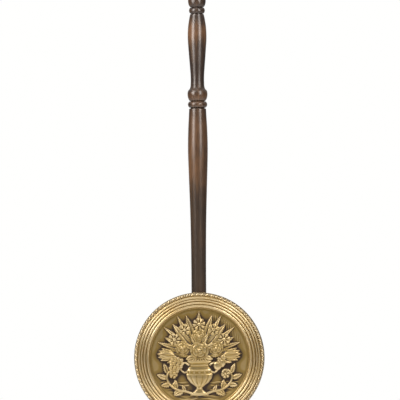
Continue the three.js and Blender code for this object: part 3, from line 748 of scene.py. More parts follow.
def rivetPieces():
    socketSpots = rivetSpots(rivets["socket"], atan(pan["taper"]))
    piece = fastenersOn("socketRivets", socketSpots, rivetShell(rivets["socket"]), "fittingBrass")
    finishPiece(piece, "fittingBrass", *[f"socket_rivet_{i}" for i in (1, 2, 3, 4)])
    lidSpots = rivetSpots(rivets["lid"], 0)
    piece = fastenersOn("lidRivets", lidSpots, rivetShell(rivets["lid"]), "fittingBrass")
    finishPiece(piece, "fittingBrass", "lid_rivet_1", "lid_rivet_2", body="lid")


rivetPieces()

bolt = {
    "head": 6,
    "headTop": 108,
    "headHeight": 3.5,
    "shank": 3,
    "end": 158,
    "point": 4,
    "slot": (1.4, 1.3),  # width and depth
    "washer": (3.3, 9),  # bore and radius
    "washerBevel": 0.5,
    "play": 0.05,
    "wall": 1.218,  # the pan's sheet, measured along the radius
}


def boltPiece():
    low, top, head, shank = bolt["headTop"] - bolt["headHeight"], bolt["headTop"], bolt["head"], bolt["shank"]
    dome = [(0, 0), (head * 0.5, 0.25), (head * 0.8, 0.9), (head * 0.96, 1.7), (head, 2.3)]
    profile = [(r, low + up) for r, up in dome] + [(head, top - 0.2), (head - 0.2, top), (shank, top)]
    profile += [(shank, bolt["end"] - bolt["point"]), (0, bolt["end"])]
    piece = faceOutwards(meshPiece("handleBolt", *turnedShell(profile, 48, "handle"), 40))
    (width, depth), back = bolt["slot"], place["handleBack"]
    sides = (back - width / 2, back + width / 2)
    tool = meshPiece("slotTool", *block((-8, 8), sides, (low - 1, low + depth)))
    cutSlot = piece.modifiers.new("slot", "BOOLEAN")
    cutSlot.operation, cutSlot.solver, cutSlot.object = "DIFFERENCE", "EXACT", tool
    keepResult(piece)
    bpy.data.objects.remove(tool)
    finishPiece(piece, "steel", "handle_bolt")


def washerPiece():
    # a wedge: flat under the bolt's head, and sloped where it bears on the wall
    steps, (bore, radius), bevel = 64, bolt["washer"], bolt["washerBevel"]
    flat = bolt["headTop"] + bolt["play"]
    points = []
    rows = [(bore, flat), (radius - bevel, flat), (radius, flat + bevel), (radius, "wall"), (bore, "wall")]
    for reach, height in rows:
        for x, back in ringSpots(reach, steps):
            inner = wallRadius(back) - bolt["wall"] - bolt["play"]
            points.append((x, back, sqrt(inner**2 - x * x) if height == "wall" else height))
    shell = (points, loopFaces(len(rows), steps))
    solidPiece("boltWasher", shell, 35, "fittingBrass", "bolt_washer")


boltPiece()
washerPiece()
print("fasteners made")

handle = {
    "steps": 72,
    "foot": 118,
    "lowerJoint": 487,
    "upperJoint": 671,
    "top": 781,
    "gap": 0.05,
    "neck": (13.6, 11.2),  # radius of the wood at the lower and the upper joint
    # radius and height along the outline
    "lower": [
        (14.5, 121.6), (14.5, 145), (14.5, 171), (14.9, 229), (16.0, 288),
        (17.8, 346), (19.4, 402), (18.7, 443), (17.3, 470), (16.6, 485),
    ],
    "bulb": [(15.3, 500.8), (17.0, 503.2), (18.6, 507.2), (19.5, 513), (19.2, 518), (17.9, 521.6)],
    "vase": [
        (17.0, 522.2), (14.6, 525.6), (13.3, 532), (13.2, 549), (14.5, 568),
        (16.8, 598), (18.4, 624), (17.6, 645), (15.1, 662), (13.2, 670.4),
    ],
    "topBulb": [(13.3, 684.2), (15.0, 686.4), (16.6, 690.2), (17.4, 696), (17.1, 700.6), (15.9, 704)],
    "acorn": [
        (14.6, 704.8), (12.2, 708.4), (11.5, 713), (13.2, 724),
        (16.2, 739), (15.4, 754), (11.4, 766), (8.8, 770.4),
    ],
    # each bead's end, its radius at the foot and the crest, and the groove after it
    "lowerBead": (499.8, 15.5, 18.9, 13.4, 500.0, 500.7),
    "upperBead": (683.2, 12.8, 15.5, 11.2, 683.4, 684.0),
    # radius and depth of the holes for the bolt, the studs and the eye
    "boltHole": (3.1, 41),
    "studHole": (4.05, 26),
    "eyeHole": (2.45, 32),
}


def bead(low, high, neck, crest, steps=14):
    swell = [(crest - neck) * sin(pi * i / steps) ** 0.6 for i in range(steps + 1)]
    return [(neck + out, low + (high - low) * i / steps) for i, out in enumerate(swell)]


def beadOnJoint(low, neck, kind):
    end, foot, crest, groove, grooveLow, grooveHigh = handle[kind]
    start = [(neck, low), (neck, low + 0.4), *bead(low + 0.6, end, foot, crest)]
    return start + [(groove, grooveLow), (groove, grooveHigh)]


def handlePiece(name, outline, low, high, footHole, topHole, node):
    # outline is the visible side, from the foot up
    (lowRadius, lowReach), (topRadius, topReach) = footHole, topHole
    profile = [(0, low + lowReach), (lowRadius, low + lowReach), (lowRadius, low), *outline]
    profile += [(topRadius, high), (topRadius, high - topReach), (0, high - topReach)]
    piece = faceOutwards(meshPiece(name, *turnedShell(profile, handle["steps"], "handle"), 60))
    # dirt and painted shade: the wood is darkened where the outline dips in, in the grooves and necks
    spots = np.array([v.co for v in piece.data.vertices]) * 1000
    up = spots[:, 2] - place["panCentre"][2]
    reach = np.hypot(spots[:, 0], spots[:, 1])
    run = np.array([tuple(p) for p in outline])
    wide = np.convolve(np.pad(run[:, 0], 6, mode="edge"), np.ones(13) / 13, "valid")
    setPatinaAndShade(piece, np.clip((np.interp(up, run[:, 1], wide) - reach + 0.25) / 2.2, 0, 0.85))
    finishPiece(piece, "walnut", node)


def handleSections():
    lower, upper, top, gap = (handle[key] for key in ("lowerJoint", "upperJoint", "top", "gap"))
    foot, studHole, (wide, narrow) = handle["foot"], handle["studHole"], handle["neck"]
    side = [(wide, foot), *curveThrough(handle["lower"], 8)]
    side += [(16.0, lower - 1.2), (wide, lower - 0.7), (wide, lower)]
    handlePiece("lowerShaft", side, foot, lower, handle["boltHole"], studHole, "lower_shaft")
    low = lower + gap
    side = [*beadOnJoint(low, wide, "lowerBead"), *curveThrough(handle["bulb"], 5)]
    side += [*curveThrough(handle["vase"], 8), (narrow, upper - 0.5), (narrow, upper)]
    handlePiece("middleGrip", side, low, upper, studHole, studHole, "middle_grip")
    low = upper + gap
    side = [*beadOnJoint(low, narrow, "upperBead"), *curveThrough(handle["topBulb"], 5)]
    side += [*curveThrough(handle["acorn"], 8), *bead(770.9, top - 0.4, 8.8, 10.6, 10), (8.2, top)]
    handlePiece("topFinial", side, low, top, studHole, handle["eyeHole"], "top_finial")


handleSections()

eye = {"radius": 10.2, "wire": 2.4, "worn": 0.06, "centre": 800, "shankEnd": 750, "collar": 781.1}


def eyePieces():
    centre, wire, radius, back = eye["centre"], eye["wire"], eye["radius"], place["handleBack"]
    steps, sides = 96, 24
    points = []
    for i in range(steps):
        angle = 2 * pi * i / steps
        # the wire is a little worn where it hangs on the hook
        thick = wire * (1 - eye["worn"] * max(0, cos(angle)) ** 8)
        for j in range(sides):
            turn = 2 * pi * j / sides
            reach = radius + thick * cos(turn)
            points.append((reach * sin(angle), back + thick * sin(turn), centre + reach * cos(angle)))
    low, top = eye["shankEnd"], centre - radius
    shank = [(0, low), (wire - 0.5, low + 0.6), (wire, low + 3), (wire, top - 5.5), (wire + 0.5, top - 2.6)]
    shank += [(wire + 0.9, top - 0.6), (wire + 0.3, top + 0.6), (0, top + 0.9)]
    shell = joinShells((points, loopFaces(steps, sides)), turnedShell(shank, 32, "handle"))
    solidPiece("hangingEye", shell, 60, "fittingBrass", "hanging_eye")
    low, bore = eye["collar"], wire + 0.1
    collar = [(bore, 0), (7.9, 0), (8.3, 0.3), (8.4, 0.9), (8.0, 1.5), (6.8, 1.8), (5.9, 2.3)]
    collar += [(5.3, 3.3), (5.1, 4.4), (4.7, 5.2), (4.1, 5.6), (bore, 5.7)]
    shell = turnedShell([(r, low + up) for r, up in collar], 56, "handle")
    solidPiece("eyeCollar", shell, 40, "fittingBrass", "eye_collar")


eyePieces()
print("handle made")

lid = {
    "radius": 127,
    "sheet": 1.0,
    "skirt": 5.0,
    "face": 97.3,  # how far the relief disc runs on, under the first ring
    "steps": 400,
    "dirtInGrooves": 0.5,
    "dirtUnderRope": 0.35,
}


def moulding(inner, outer, innerFoot, outerFoot, crest, steps=12):
    run = []
    for i in range(steps):
        share = i / steps
        foot = innerFoot + (outerFoot - innerFoot) * share
        run.append((inner + (outer - inner) * share, foot + (crest - foot) * sin(pi * share) ** 0.6))
    return run


# (radius, height in front of the rim), from the relief disc out to the rope border
lidFront = [
    (95.8, 1.25),
    (96.6, 1.6),
    (97.6, 3.2),
    (98.4, 4.6),
    *moulding(98.8, 103.6, 5.0, 5.3, 7.1),
    (103.8, 5.2),
    *moulding(104.3, 109.4, 5.3, 4.8, 8.0, 14),
    (109.6, 4.6),
    *moulding(110.2, 114.2, 4.8, 4.4, 6.2, 10),
    (114.4, 3.9),
    *moulding(114.9, 119.6, 4.0, 2.7, 5.4),
    (119.6, 2.5),
    (120.6, 2.0),
]


def lidRings():
    radius, sheet, skirt = lid["radius"], lid["sheet"], -lid["skirt"]
    inside = radius - sheet
    edge = [(124.8, 1.1), (126.2, 0.9), (radius, 0.2), (radius, skirt + 0.3), (radius - 0.2, skirt)]
    edge += [(inside + 0.2, skirt), (inside, skirt + 0.3), (inside, -0.4), (124.6, 0.1)]
    under = [(r, h - sheet) for r, h in lidFront[:0:-1]] + [(95.8, 1.1)]
    points, faces = turnedShell([(r, -h) for r, h in lidFront + edge + under], lid["steps"])
    piece = faceOutwards(meshPiece("lidRings", points, faces, 50))
    spots = np.array(points)
    reach, height = np.hypot(spots[:, 0], spots[:, 2]), -spots[:, 1]
    run = np.array(lidFront)
    level = np.interp(reach, run[:, 0], run[:, 1])
    wide = np.array([np.interp(r + np.linspace(-2.6, 2.6, 9), run[:, 0], run[:, 1]).mean() for r in reach])
    hollow = np.clip((wide - level) / 1.5, 0, 1) * (height > level - 0.3) * (reach < 121)
    rim = np.clip((reach - 119.6) / 0.8, 0, 1) * (height > 0.5) * 0.9
    setPatinaAndShade(piece, np.clip(np.maximum(hollow * lid["dirtInGrooves"], rim * lid["dirtUnderRope"]), 0, 1))
    finishPiece(piece, "lidBrass", "lid_shell", body="lid")


rope = {
    "strands": 80,
    "slant": 0.5,  # in strands, from the inner edge to the outer one
    "fat": 0.66,  # share of the pitch that the thick strand takes
    "thin": 0.34,
    "inner": 120.0,
    "width": 6.95,
    "notch": 0.8,
    "low": 1.6,
    "high": 2.5,
    "foot": [(126.2, 0.35), (120.4, 0.35)],
    "steps": (14, 12),
    "patina": (1.3, 3.6, 0.9),
}
tooth = {
    "count": 210,
    "push": (0.15, 0.75),  # between the teeth, and what a tooth adds
    "from": (97.3, 2.7),
    "run": (2.3, 3.5),
    "out": (-0.85, 0.53),  # the way that a tooth stands out
    "foot": [(99.6, 5.4), (98.0, 2.6)],
    "steps": (6, 6),
    "patina": (2.4, 5.0, 0.7),
}


def ropeLoop(share):
    # one fat strand and one thin one, slanted across the border
    loop, fat = [], rope["fat"]
    for q in np.linspace(0, 1, rope["steps"][1] + 1):
        phase = (share - rope["slant"] * q) % 1
        if phase < fat:
            swell = sin(pi * phase / fat) ** 0.85
        else:
            swell = 0.75 * sin(pi * (phase - fat) / rope["thin"]) ** 0.8
        swell = max(swell, 0.0)
        arch = sin(pi * (0.04 + 0.92 * q)) ** 0.62
        radius = rope["inner"] + rope["width"] * q - rope["notch"] * (1 - swell) * q * q
        loop.append((radius, 0.2 + arch * (rope["low"] + rope["high"] * swell) + 0.2 * (1 - q)))
    return loop + rope["foot"]


def toothLoop(share):
    # a small rounded tooth on the inner wall of the first ring
    loop, (base, more) = [], tooth["push"]
    swell = max(0.0, sin(pi * (share % 1))) ** 0.7
    for q in np.linspace(0, 1, tooth["steps"][1] + 1):
        push = (base + more * swell) * sin(pi * (0.06 + 0.88 * q)) ** 0.6
        loop.append([tooth["from"][k] + tooth["run"][k] * q + tooth["out"][k] * push for k in (0, 1)])
    return loop + tooth["foot"]


def ringOf(name, sizes, count, loopAt, finish):
    # loopAt gives the ring's section as (radius, height), at a share of the way along one strand or tooth
    steps, pitch = sizes["steps"][0], 2 * pi / count
    points = []
    for i in range(steps + 1):
        angle = i / steps * pitch
        loop = loopAt(i / steps)
        points += [(radius * sin(angle), -height, radius * cos(angle)) for radius, height in loop]
    piece = repeatRound(name, (points, loopFaces(steps + 1, len(loop), False)), count, finish)
    # darkest at floor millimetres in front of the rim, clean at clear
    floor, clear, most = sizes["patina"]
    height = -(np.array([v.co.y for v in piece.data.vertices]) * 1000 - place["panCentre"][1])
    setPatinaAndShade(piece, np.clip((clear - height) / (clear - floor), 0, 1) * most)
    finishPiece(piece, finish, body="lid")


lidRings()
ringOf("ropeBorder", rope, rope["strands"], ropeLoop, "ropeBrass")
ringOf("toothRow", tooth, tooth["count"], toothLoop, "lidBrass")
print("lid rings made")

relief = {
    "cells": 276,
    "wallSlope": 2.2,  # how steeply the side of a form falls to the ground
    "ground": 0.9,
    "dome": 0.9,
    "rise": 0.8,
    "limit": (7.0, 0.75),  # height over which forms are pressed down, and what is left of the rest
    "spread": 1.05,
    "seed": 7,
    "groundLines": 1.7,
    "rays": (0.9, 3.4),  # height and spacing
    "bareGround": 0.22,  # patina of the plain field
}


def discGrid(cells, radius):
    # a square grid bent into a disc, so that it has no pole
    steps = np.linspace(-1, 1, cells + 1)
    u, v = np.meshgrid(steps, steps, indexing="ij")
    return radius * u * np.sqrt(1 - v * v / 2), radius * v * np.sqrt(1 - u * u / 2)


def blur(values, passes):
    for _ in range(passes):
        p = np.pad(values, 1, mode="edge")
        values = (p[:-2, 1:-1] + p[2:, 1:-1] + p[1:-1, :-2] + p[1:-1, 2:] + 2 * values) / 6
    return values


def rise(values):
    return np.clip(values, 0, 1)


def dome(d):
    return np.sqrt(rise(1 - d * d))


def hill(d):
    return np.exp(-(d**2))


# A field holds the grid's x and y and the height so far. Each form is laid on it, and the higher one shows.
def around(field, centre, angle=0.0):
    dx, dy = field["x"] - centre[0], field["y"] - centre[1]
    c, s = cos(angle), sin(angle)
    return dx * c + dy * s, dy * c - dx * s


def addForm(field, inside, crown, lift):
    # inside is the distance in from the form's outline, negative outside it
    side = relief["wallSlope"] * inside
    form = lift + np.where(inside > 0, crown + np.minimum(side, 0.5), side)
    field["height"] = np.maximum(field["height"], form)


def addLeaf(field, base, angle, length, width, tall, lift, veins=3.6, depth=0.36):
    a, b = around(field, base, radians(angle))
    t = rise(a / length)
    half = width / 2 * np.sin(pi * t**0.75) ** 0.8 * (1 + 0.3 * depth * np.sin(2 * pi * a / veins))
    past = np.maximum(0, -a) + np.maximum(0, a - length)
    side = rise(np.abs(b) / np.maximum(half, 0.4))
    crown = tall * (0.55 * dome(side) + 0.45 * np.sin(pi * side)) * (0.65 + 0.35 * np.sin(pi * t))
    crown = crown + 0.6 * depth * np.cos(2 * pi * (a - 1.2 * np.abs(b)) / veins) * np.sin(pi * side)
    crown = crown - 0.9 * hill(b / 0.8) * (t < 0.93)
    addForm(field, half - np.abs(b) - past, crown, lift)


def addDaisy(field, centre, radius, petals, tall, lift, turn=0.0):
    a, b = around(field, centre)
    r = np.hypot(a, b)
    spread = ((np.arctan2(b, a) + turn) * petals / (2 * pi)) % 1 - 0.5
    edge = radius * (0.78 + 0.22 * dome(2 * spread))
    s = rise(r / radius)
    across = (0.5 - np.abs(spread)) * 2 * pi * r / petals
    crown = tall * (0.35 + 0.65 * np.cos(pi * spread)) * (0.55 + 0.45 * np.sin(pi * rise(s * 1.25 - 0.15)))
    addForm(field, edge - r, crown - 1.6 * hill(across / 0.85), lift)
    boss = radius * 0.27
    seeds = 0.35 * np.cos(2 * pi * a / 2.1) * np.cos(2 * pi * b / 2.1)
    addForm(field, boss - r, 2.0 * dome(r / boss) + seeds, lift + tall * 0.75)


def addRose(field, centre, radius, tall, lift, turn=0.0):
    rings = [(1.0, 6, 0.0), (0.72, 5, 0.5), (0.44, 3, 0.2)]  # share of the radius, petals, turn
    for level, (share, petals, offset) in enumerate(rings):
        for i in range(petals):
            angle = turn + offset + 2 * pi * i / petals
            far = radius * share * 0.60
            a, b = around(field, (centre[0] + far * cos(angle), centre[1] + far * sin(angle)), angle)
            size = radius * share * 0.46
            d = np.hypot(a * 1.05, b * 0.86) / size
            cup = tall * 0.34 * dome(d) + 0.75 * hill((a - size * 0.62) / (size * 0.22)) * (d < 1)
            addForm(field, (1 - d) * size, cup, lift + tall * 0.24 * level + 0.12 * (i % 2))
    a, b = around(field, centre)
    r = np.hypot(a, b)
    bud = radius * 0.16
    addForm(field, bud - r, 1.4 * dome(r / bud), lift + tall * 0.95)


def addBall(field, centre, rx, ry, angle, tall, lift, lines=0.0):
    a, b = around(field, centre, radians(angle))
    d = np.hypot(a / rx, b / ry)
    crown = tall * dome(d)
    if lines:
        crown = crown + 0.25 * np.cos(2 * pi * b / (lines * np.sqrt(np.clip(1.02 - (a / rx) ** 2, 0.05, 1))))
    addForm(field, (1 - d) * min(rx, ry), crown, lift)


def addStem(field, points, width, tall, lift, taper=0.4):
    # a rounded stem along a run of points
    x, y = field["x"], field["y"]
    points = np.array(points, float)
    count = len(points) - 1
    best = np.full(x.shape, -99.0)
    crown = np.zeros(x.shape)
    for i in range(count):
        p, q = points[i], points[i + 1]
        d = q - p
        t = rise(((x - p[0]) * d[0] + (y - p[1]) * d[1]) / (d @ d))
        away = np.hypot(x - p[0] - t * d[0], y - p[1] - t * d[1])
        half = width / 2 * (1 - taper * (i + t) / count)
        nearer = half - away > best
        best = np.where(nearer, half - away, best)
        crown = np.where(nearer, tall * dome(rise(away / half)), crown)
    addForm(field, best, crown, lift)


def addGrapes(field, top, angle, size, lift, rng):
    c, s = cos(radians(angle)), sin(radians(angle))
    for row, count in enumerate((3, 4, 4, 3, 3, 2, 1)):
        for i in range(count):
            along, across = row * size * 1.45, (i - (count - 1) / 2) * size * 1.8
            jx, jy = rng.uniform(-0.35, 0.35, 2)
            spot = (top[0] + along * c - across * s + jx, top[1] + along * s + across * c + jy)
            up = lift + 0.9 * sin(pi * (i + 1) / (count + 1)) + rng.uniform(0, 0.5)
            addBall(field, spot, size, size, 0, 2.9, up)


def addTulip(field, base, angle, length, lift):
    petals = ((24, 0.88, 0.34, 0), (11, 0.97, 0.36, 0.9), (0, 1, 0.42, 1.9))  # turn, length, width, lift
    for turn, share, width, up in petals:
        for way in {angle - turn, angle + turn}:
            addLeaf(field, base, way, length * share, length * width, 2.6, lift + up, 2.4, 0.16)


urn = {
    "ends": (-70, -5),
    # height and half width of the outline, from the foot up
    "heights": [-70, -66.5, -65, -62, -58, -55, -52, -46, -38, -30, -24, -19, -15.5, -13, -10, -8, -5],
    "halves": [17, 17, 13.5, 9, 5.5, 5.5, 9, 17, 22.5, 24.5, 23.5, 20.5, 17.5, 17.5, 20.5, 22.5, 23],
    # height and how far it stands out there
    "crown": [(-70, 2.6), (-64, 3.0), (-58, 2.6), (-52, 3.6), (-38, 5.2), (-24, 5.0), (-14, 3.8), (-5, 4.4)],
    # height, width and thickness of each band
    "bands": [
        (-31, 0.9, 0.9), (-23, 0.9, 0.9), (-14, 1.3, 1.0),
        (-56.5, 1.4, 1.2), (-65.5, 0.9, 0.7), (-7, 1.6, 1.1),
    ],
    "beads": -27,
    "handle": [(20, -13), (27, -9), (34, -13), (34, -22), (28, -27), (23, -26)],
    "lift": 2.6,
}


def addUrn(field):
    x, y = field["x"], field["y"]
    low, top = urn["ends"]
    half = np.interp(y, urn["heights"], urn["halves"])
    inside = np.minimum(half - np.abs(x), np.minimum(y - low, top - y))
    crown = np.interp(y, *zip(*urn["crown"])) * dome(rise(np.abs(x) / half))
    turn = np.arcsin(np.clip(x / half, -1, 1))
    crown = crown + np.abs(np.cos(turn * 6.5)) ** 0.7 * (rise((y + 53) / 4) * rise((-31 - y) / 3))
    aboveBeads = y - urn["beads"]
    crown = crown - 0.5 * hill(aboveBeads / 2.6) + 1.1 * rise(np.cos(turn * 15)) * hill(aboveBeads / 1.8)
    for at, wide, tall in urn["bands"]:
        crown = crown + tall * hill((y - at) / wide)
    addForm(field, inside, crown, urn["lift"])
    for side in (-1, 1):
        loop = [(side * a, b) for a, b in urn["handle"]]
        addStem(field, curveThrough(loop, 5), 3.6, 2.0, 4.2, 0.2)


def addGroundLines(field, r):
    x, y = field["x"], field["y"]
    # depth in the field, wave and shift; the last four leave the middle free
    lines = (
        (-71.5, 0.8, 0.3), (-76, 1.2, 1.1), (-81, 1.0, 2.0), (-86, 0.7, 2.9),
        (-64, 0.9, 0.6), (-58, 0.6, 2.2), (-51, 0.7, 0.9), (-45, 0.5, 1.7),
    )
    for level, (depth, wave, shift) in enumerate(lines):
        line = depth + wave * np.sin(x / 9 + shift) + 0.5 * np.sin(x / 3.1 + 2 * shift)
        reach = rise((90 - r) / 4) * rise((np.abs(x) - (0 if level < 4 else 18)) / 4)
        gaps = 0.45 + 0.55 * rise(np.sin(x / (11 + 2 * level) + shift * 3) * 2)
        field["height"] = field["height"] + relief["groundLines"] * reach * gaps * hill((y - line) / 0.85)


# each leaf has its base, turn, length and width
scroll = {
    "stem": [
        (14, -66), (26, -62), (38, -60), (50, -54), (58, -44), (60, -33),
        (55, -24), (47, -22), (42, -28), (45, -34), (50, -33),
    ],
    "leaves": [
        ((30, -61), -28, 19, 10), ((42, -57), 78, 17, 8), ((54, -49), -8, 17, 10), ((60, -38), 20, 20, 10),
        ((59, -29), 70, 20, 9), ((50, -53), 128, 13, 7), ((26, -62), 62, 13, 7), ((40, -60), -50, 12, 7),
    ],
    "flower": (48.5, -30),
}


def addScroll(field, side):
    stem = [(side * a, b) for a, b in scroll["stem"]]
    addStem(field, curveThrough(stem, 5), 4.6, 2.4, 3.0, 0.45)
    for (a, b), turn, length, width in scroll["leaves"]:
        addLeaf(field, (side * a, b), turn if side > 0 else 180 - turn, length, width, 2.2, 2.6)
    a, b = scroll["flower"]
    addDaisy(field, (side * a, b), 8.2, 6, 2.2, 4.2, 0.3 * side)


def addFruit(field, rng):
    leaves = (
        ((-36, 2), 205, 26, 14, 2.4, 3.6), ((-34, -2), 236, 20, 11, 2.2, 4.2),
        ((36, 2), -25, 26, 14, 2.4, 3.6), ((35, 0), -62, 15, 8, 2.0, 7.0),
    )
    for leaf in leaves:
        addLeaf(field, *leaf)
    addGrapes(field, (-39, -2), 247, 3.7, 4.4, rng)
    addBall(field, (41, -9), 9.5, 8.0, 70, 4.2, 3.6, 3.2)
    addBall(field, (33.5, -15), 8.2, 7.4, 100, 4.2, 4.6, 3.0)
    addBall(field, (45, 0.5), 5.2, 5.0, 0, 3.2, 5.0)


bouquet = {
    # turn from the right, length, width and lift of the long leaves, which stand on both sides
    "sprays": [
        (8, 54, 17, 3.0), (28, 58, 16, 2.8), (50, 62, 17, 3.0), (72, 64, 16, 2.6),
        (90, 67, 15, 2.4), (18, 66, 12, 2.4), (61, 70, 11, 2.2), (39, 70, 11, 2.2),
    ],
    # place, radius, petals and lift
    "daisies": [
        ((-46, 34), 11.5, 8, 4.2), ((46, 34), 11.5, 8, 4.2), ((0, 62), 11.5, 8, 4.2),
        ((-27, 52), 11, 6, 4.0), ((27, 52), 11, 6, 4.0),
    ],
    # place, radius, height, lift and turn
    "roses": [
        ((-31, 18), 13.5, 4.2, 4.2, 0.4), ((31, 18), 13.5, 4.2, 4.2, 1.4),
        ((0, 40), 13.5, 4.2, 4.0, 0.1), ((0, 14), 17.5, 5.0, 5.0, 0.8),
    ],
    "roseLeaves": (20, 62, 118, 160, 90),
    "rimLeaves": [(200, -9), (238, -5), (-20, 9), (-58, 5), (-90, 0)],  # turn and shift to the right
}


def addBouquet(field):
    def onCircle(turn, up):
        return 14 * cos(radians(turn)), up + 14 * sin(radians(turn))

    for turn, length, width, lift in bouquet["sprays"]:
        for way in {turn, 180 - turn}:
            addLeaf(field, onCircle(way, 4), way, length, width, 2.6, lift)
    for side in (-1, 1):
        stem = [(side * 12, 4), (side * 30, 3), (side * 46, 4)]
        addStem(field, curveThrough(stem, 4), 3.4, 1.6, 3.4, 0.2)
        addTulip(field, (side * 45, 4), 90 - side * 84, 32, 3.8)
    for centre, radius, petals, lift in bouquet["daisies"]:
        addDaisy(field, centre, radius, petals, 2.6, lift, 0.2)
    for rose in bouquet["roses"]:
        addRose(field, *rose)
    for turn in bouquet["roseLeaves"]:
        addLeaf(field, onCircle(turn, 14), turn, 19, 10, 2.2, 4.8)
    for turn, shift in bouquet["rimLeaves"]:
        addLeaf(field, (shift, 3), turn, 17, 9, 2.0, 5.2)


def reliefHeight(x, y):
    rng = np.random.default_rng(relief["seed"])
    r = np.hypot(x, y)
    x, y = x / relief["spread"], y / relief["spread"]
    ground = relief["ground"] + relief["dome"] * (1 - (r / 96) ** 2)
    # fine chased rays behind the flowers on one side
    tall, pitch = relief["rays"]
    rays = tall * (0.5 + 0.5 * np.cos(2 * pi * x / pitch)) * rise((x - 14) / 10) * rise((y - 22) / 14)
    field = {"x": x, "y": y, "height": ground + rays * rise((90 - r) / 6)}
    addGroundLines(field, r)
    for side in (-1, 1):
        addScroll(field, side)
    addFruit(field, rng)
    addBouquet(field)
    addUrn(field)
    height = ground + (field["height"] - ground) * relief["rise"] * rise((94.5 - r) / 3.5)
    limit, left = relief["limit"]
    return np.where(height > limit, limit + (height - limit) * left, height)


def reliefPatina(height, r):
    # dark in the hollows and creases, and rubbed clean on what stands out
    hollow = rise((blur(height, 260) - height - 0.1) / 1.6) ** 0.8 * 0.97
    crease = rise((blur(height, 10) - height) / 0.6) * 0.6
    rim = rise((r - 91) / 4) * 0.35
    clean = rise((height - blur(height, 60)) / 1.2)
    return rise(hollow + crease + rim + relief["bareGround"]) * (1 - 0.85 * clean)


def lidFace():
    cells = relief["cells"]
    x, y = discGrid(cells, lid["face"])
    height = reliefHeight(x, y)
    back = np.minimum(blur(height, 6) - lid["sheet"], height - 0.5)[::2, ::2]
    front = np.stack([x, -height, y], -1).reshape(-1, 3)
    rear = np.stack([x[::2, ::2], -back, y[::2, ::2]], -1).reshape(-1, 3)
    # the rear grid has every second point of the front one
    wide, narrow = cells + 1, cells // 2 + 1
    start = wide * wide
    faces = [(a, d, c, b) for a, b, c, d in gridFaces(wide, wide)] + gridFaces(narrow, narrow, start)
    border = [(i, j) for j, i in borderOf(wide, wide)]
    for k in range(0, len(border), 2):
        a, b, c = (border[(k + m) % len(border)] for m in (0, 1, 2))
        frontIds = [i * wide + j for i, j in (c, b, a)]
        rearIds = [start + i // 2 * narrow + j // 2 for i, j in (a, c)]
        faces.append(tuple(frontIds + rearIds))
    piece = meshPiece("lidRelief", np.concatenate([front, rear]), faces, 180)
    patina = reliefPatina(height, np.hypot(x, y))
    setPatinaAndShade(piece, np.concatenate([patina.ravel(), np.full(len(rear), 0.25)]))
    finishPiece(piece, "lidBrass", body="lid")


lidFace()
print("relief made")

for node in ("rim_wire", "lower_stud", "upper_stud"):
    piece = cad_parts[node]
    for materialSlot in piece.material_slots:
        materialSlot.material = materials["steel"]

studio = {
    "leftLight": {"azimuth": -53, "distance": 1.2, "level": 0.18, "size": (0.54, 1.1), "power": 15.6},
    "rightLight": {"azimuth": 34, "distance": 1.25, "level": 0.18, "size": (0.43, 1.05), "power": 11.1},
    "topLight": {"azimuth": -20, "distance": 1.2, "level": 2.0, "size": (1.2, 1.2), "power": 8},
    "aim": (0, 0, -0.55),
    "fill": 0.25,  # of the world on matt surfaces
    "room": 0.115,  # of the studio at eye level, in reflections
    "ceiling": 0.6,
    "ground": 0.5,
    "floor": -1.0,
    "floorSize": 1.9,
    "floorColour": (0.88, 0.88, 0.87),
    "floorLift": 0.55,  # what the camera sees on top of its shading
    "floorGloss": (0.42, 0.10),  # the same in reflections, in front of the object and behind it
}


def addLight(name):
    # a softbox, on the circle round the object and facing its axis
    sizes = studio[name]
    data = bpy.data.lights.new(name, "AREA")
    data.shape = "RECTANGLE"
    data.size, data.size_y = sizes["size"]
    data.energy = sizes["power"]
    lamp = addObject(name, data)
    azimuth = radians(sizes["azimuth"])
    aim = Vector(studio["aim"])
    spot = Vector((sin(azimuth) * sizes["distance"], -cos(azimuth) * sizes["distance"], sizes["level"]))
    way = spot - aim if abs(spot.z - aim.z) > 1.5 else Vector((spot.x, spot.y, 0))
    lamp.matrix_world = Matrix.Translation(spot) @ way.to_track_quat("Z", "Y").to_matrix().to_4x4()


def brightest(*values):
    result = values[0]
    for value in values[1:]:
        result = combine("MAXIMUM", result, value)
    return result


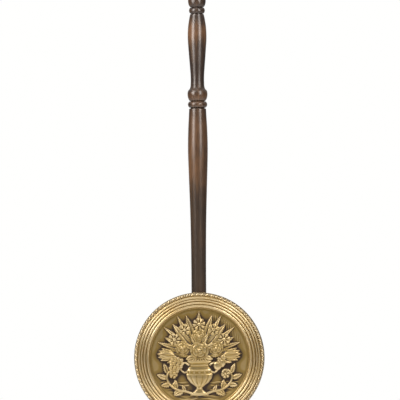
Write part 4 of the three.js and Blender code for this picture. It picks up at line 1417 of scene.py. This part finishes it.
def addWorld():
    # White to the camera. In reflections it is dark at eye level, brighter above and below,
    # and white straight behind.
    world = bpy.data.worlds.new("studio")
    bpy.context.scene.world = world
    world.use_nodes = True
    world.node_tree.nodes.clear()
    bench["tree"] = world.node_tree
    path = addNode("ShaderNodeLightPath").outputs
    way = addNode("ShaderNodeTexCoord").outputs["Generated"]
    way = addNode("ShaderNodeSeparateXYZ", {"Vector": way}).outputs
    above = span(way["Z"], 0.12, 0.75, studio["room"], studio["ceiling"])
    below = span(way["Z"], -0.12, -0.75, studio["room"], studio["ground"])
    behind = span(way["Y"], 0.86, 0.99)
    shown = brightest(above, below, behind, path["Is Camera Ray"])
    seen = brightest(path["Is Camera Ray"], path["Is Glossy Ray"], path["Is Transmission Ray"])
    soft = addNode("ShaderNodeBackground", {"Color": (1, 1, 1), "Strength": studio["fill"]})
    plain = addNode("ShaderNodeBackground", {"Color": (1, 1, 0.99), "Strength": shown})
    mix = addNode("ShaderNodeMixShader", {0: seen, 1: soft.outputs[0], 2: plain.outputs[0]})
    addNode("ShaderNodeOutputWorld", {"Surface": mix.outputs[0]})


def addFloor():
    # a round floor that turns to the white of the backdrop towards its edge
    reach, level, sides = studio["floorSize"], studio["floor"], 96
    mesh = bpy.data.meshes.new("floor")
    edge = [(reach * cos(a), reach * sin(a), level) for a in np.linspace(0, 2 * pi, sides, endpoint=False)]
    mesh.from_pydata(edge, [], [tuple(range(sides))])
    floor = addObject("floor", mesh)
    material, shader, coords = newMaterial("paleFloor")
    path = addNode("ShaderNodeLightPath").outputs
    mirrored = brightest(path["Is Glossy Ray"], path["Is Transmission Ray"])
    away = addNode("ShaderNodeMapping", {"Vector": coords, "Scale": (1, 1, 0)}).outputs[0]
    away = addNode("ShaderNodeVectorMath", {0: away}, operation="LENGTH").outputs["Value"]
    lift = span(away, 0.5, reach * 0.9, studio["floorLift"], 1.0)
    back = addNode("ShaderNodeSeparateXYZ", {"Vector": coords}).outputs["Y"]
    gloss = span(back, -0.25, 0.3, *studio["floorGloss"])
    setInputs(shader, {
        "Base Color": studio["floorColour"],
        "Roughness": 0.9,
        "Specular IOR Level": 0.1,
        "Emission Color": (1, 1, 1),
        "Emission Strength": weigh(path["Is Camera Ray"], lift, mirrored, gloss),
    })
    mesh.materials.append(material)


for lightName in ("leftLight", "rightLight", "topLight"):
    addLight(lightName)
addWorld()
addFloor()
bpy.context.scene.view_settings.view_transform = "Standard"
print("studio made")
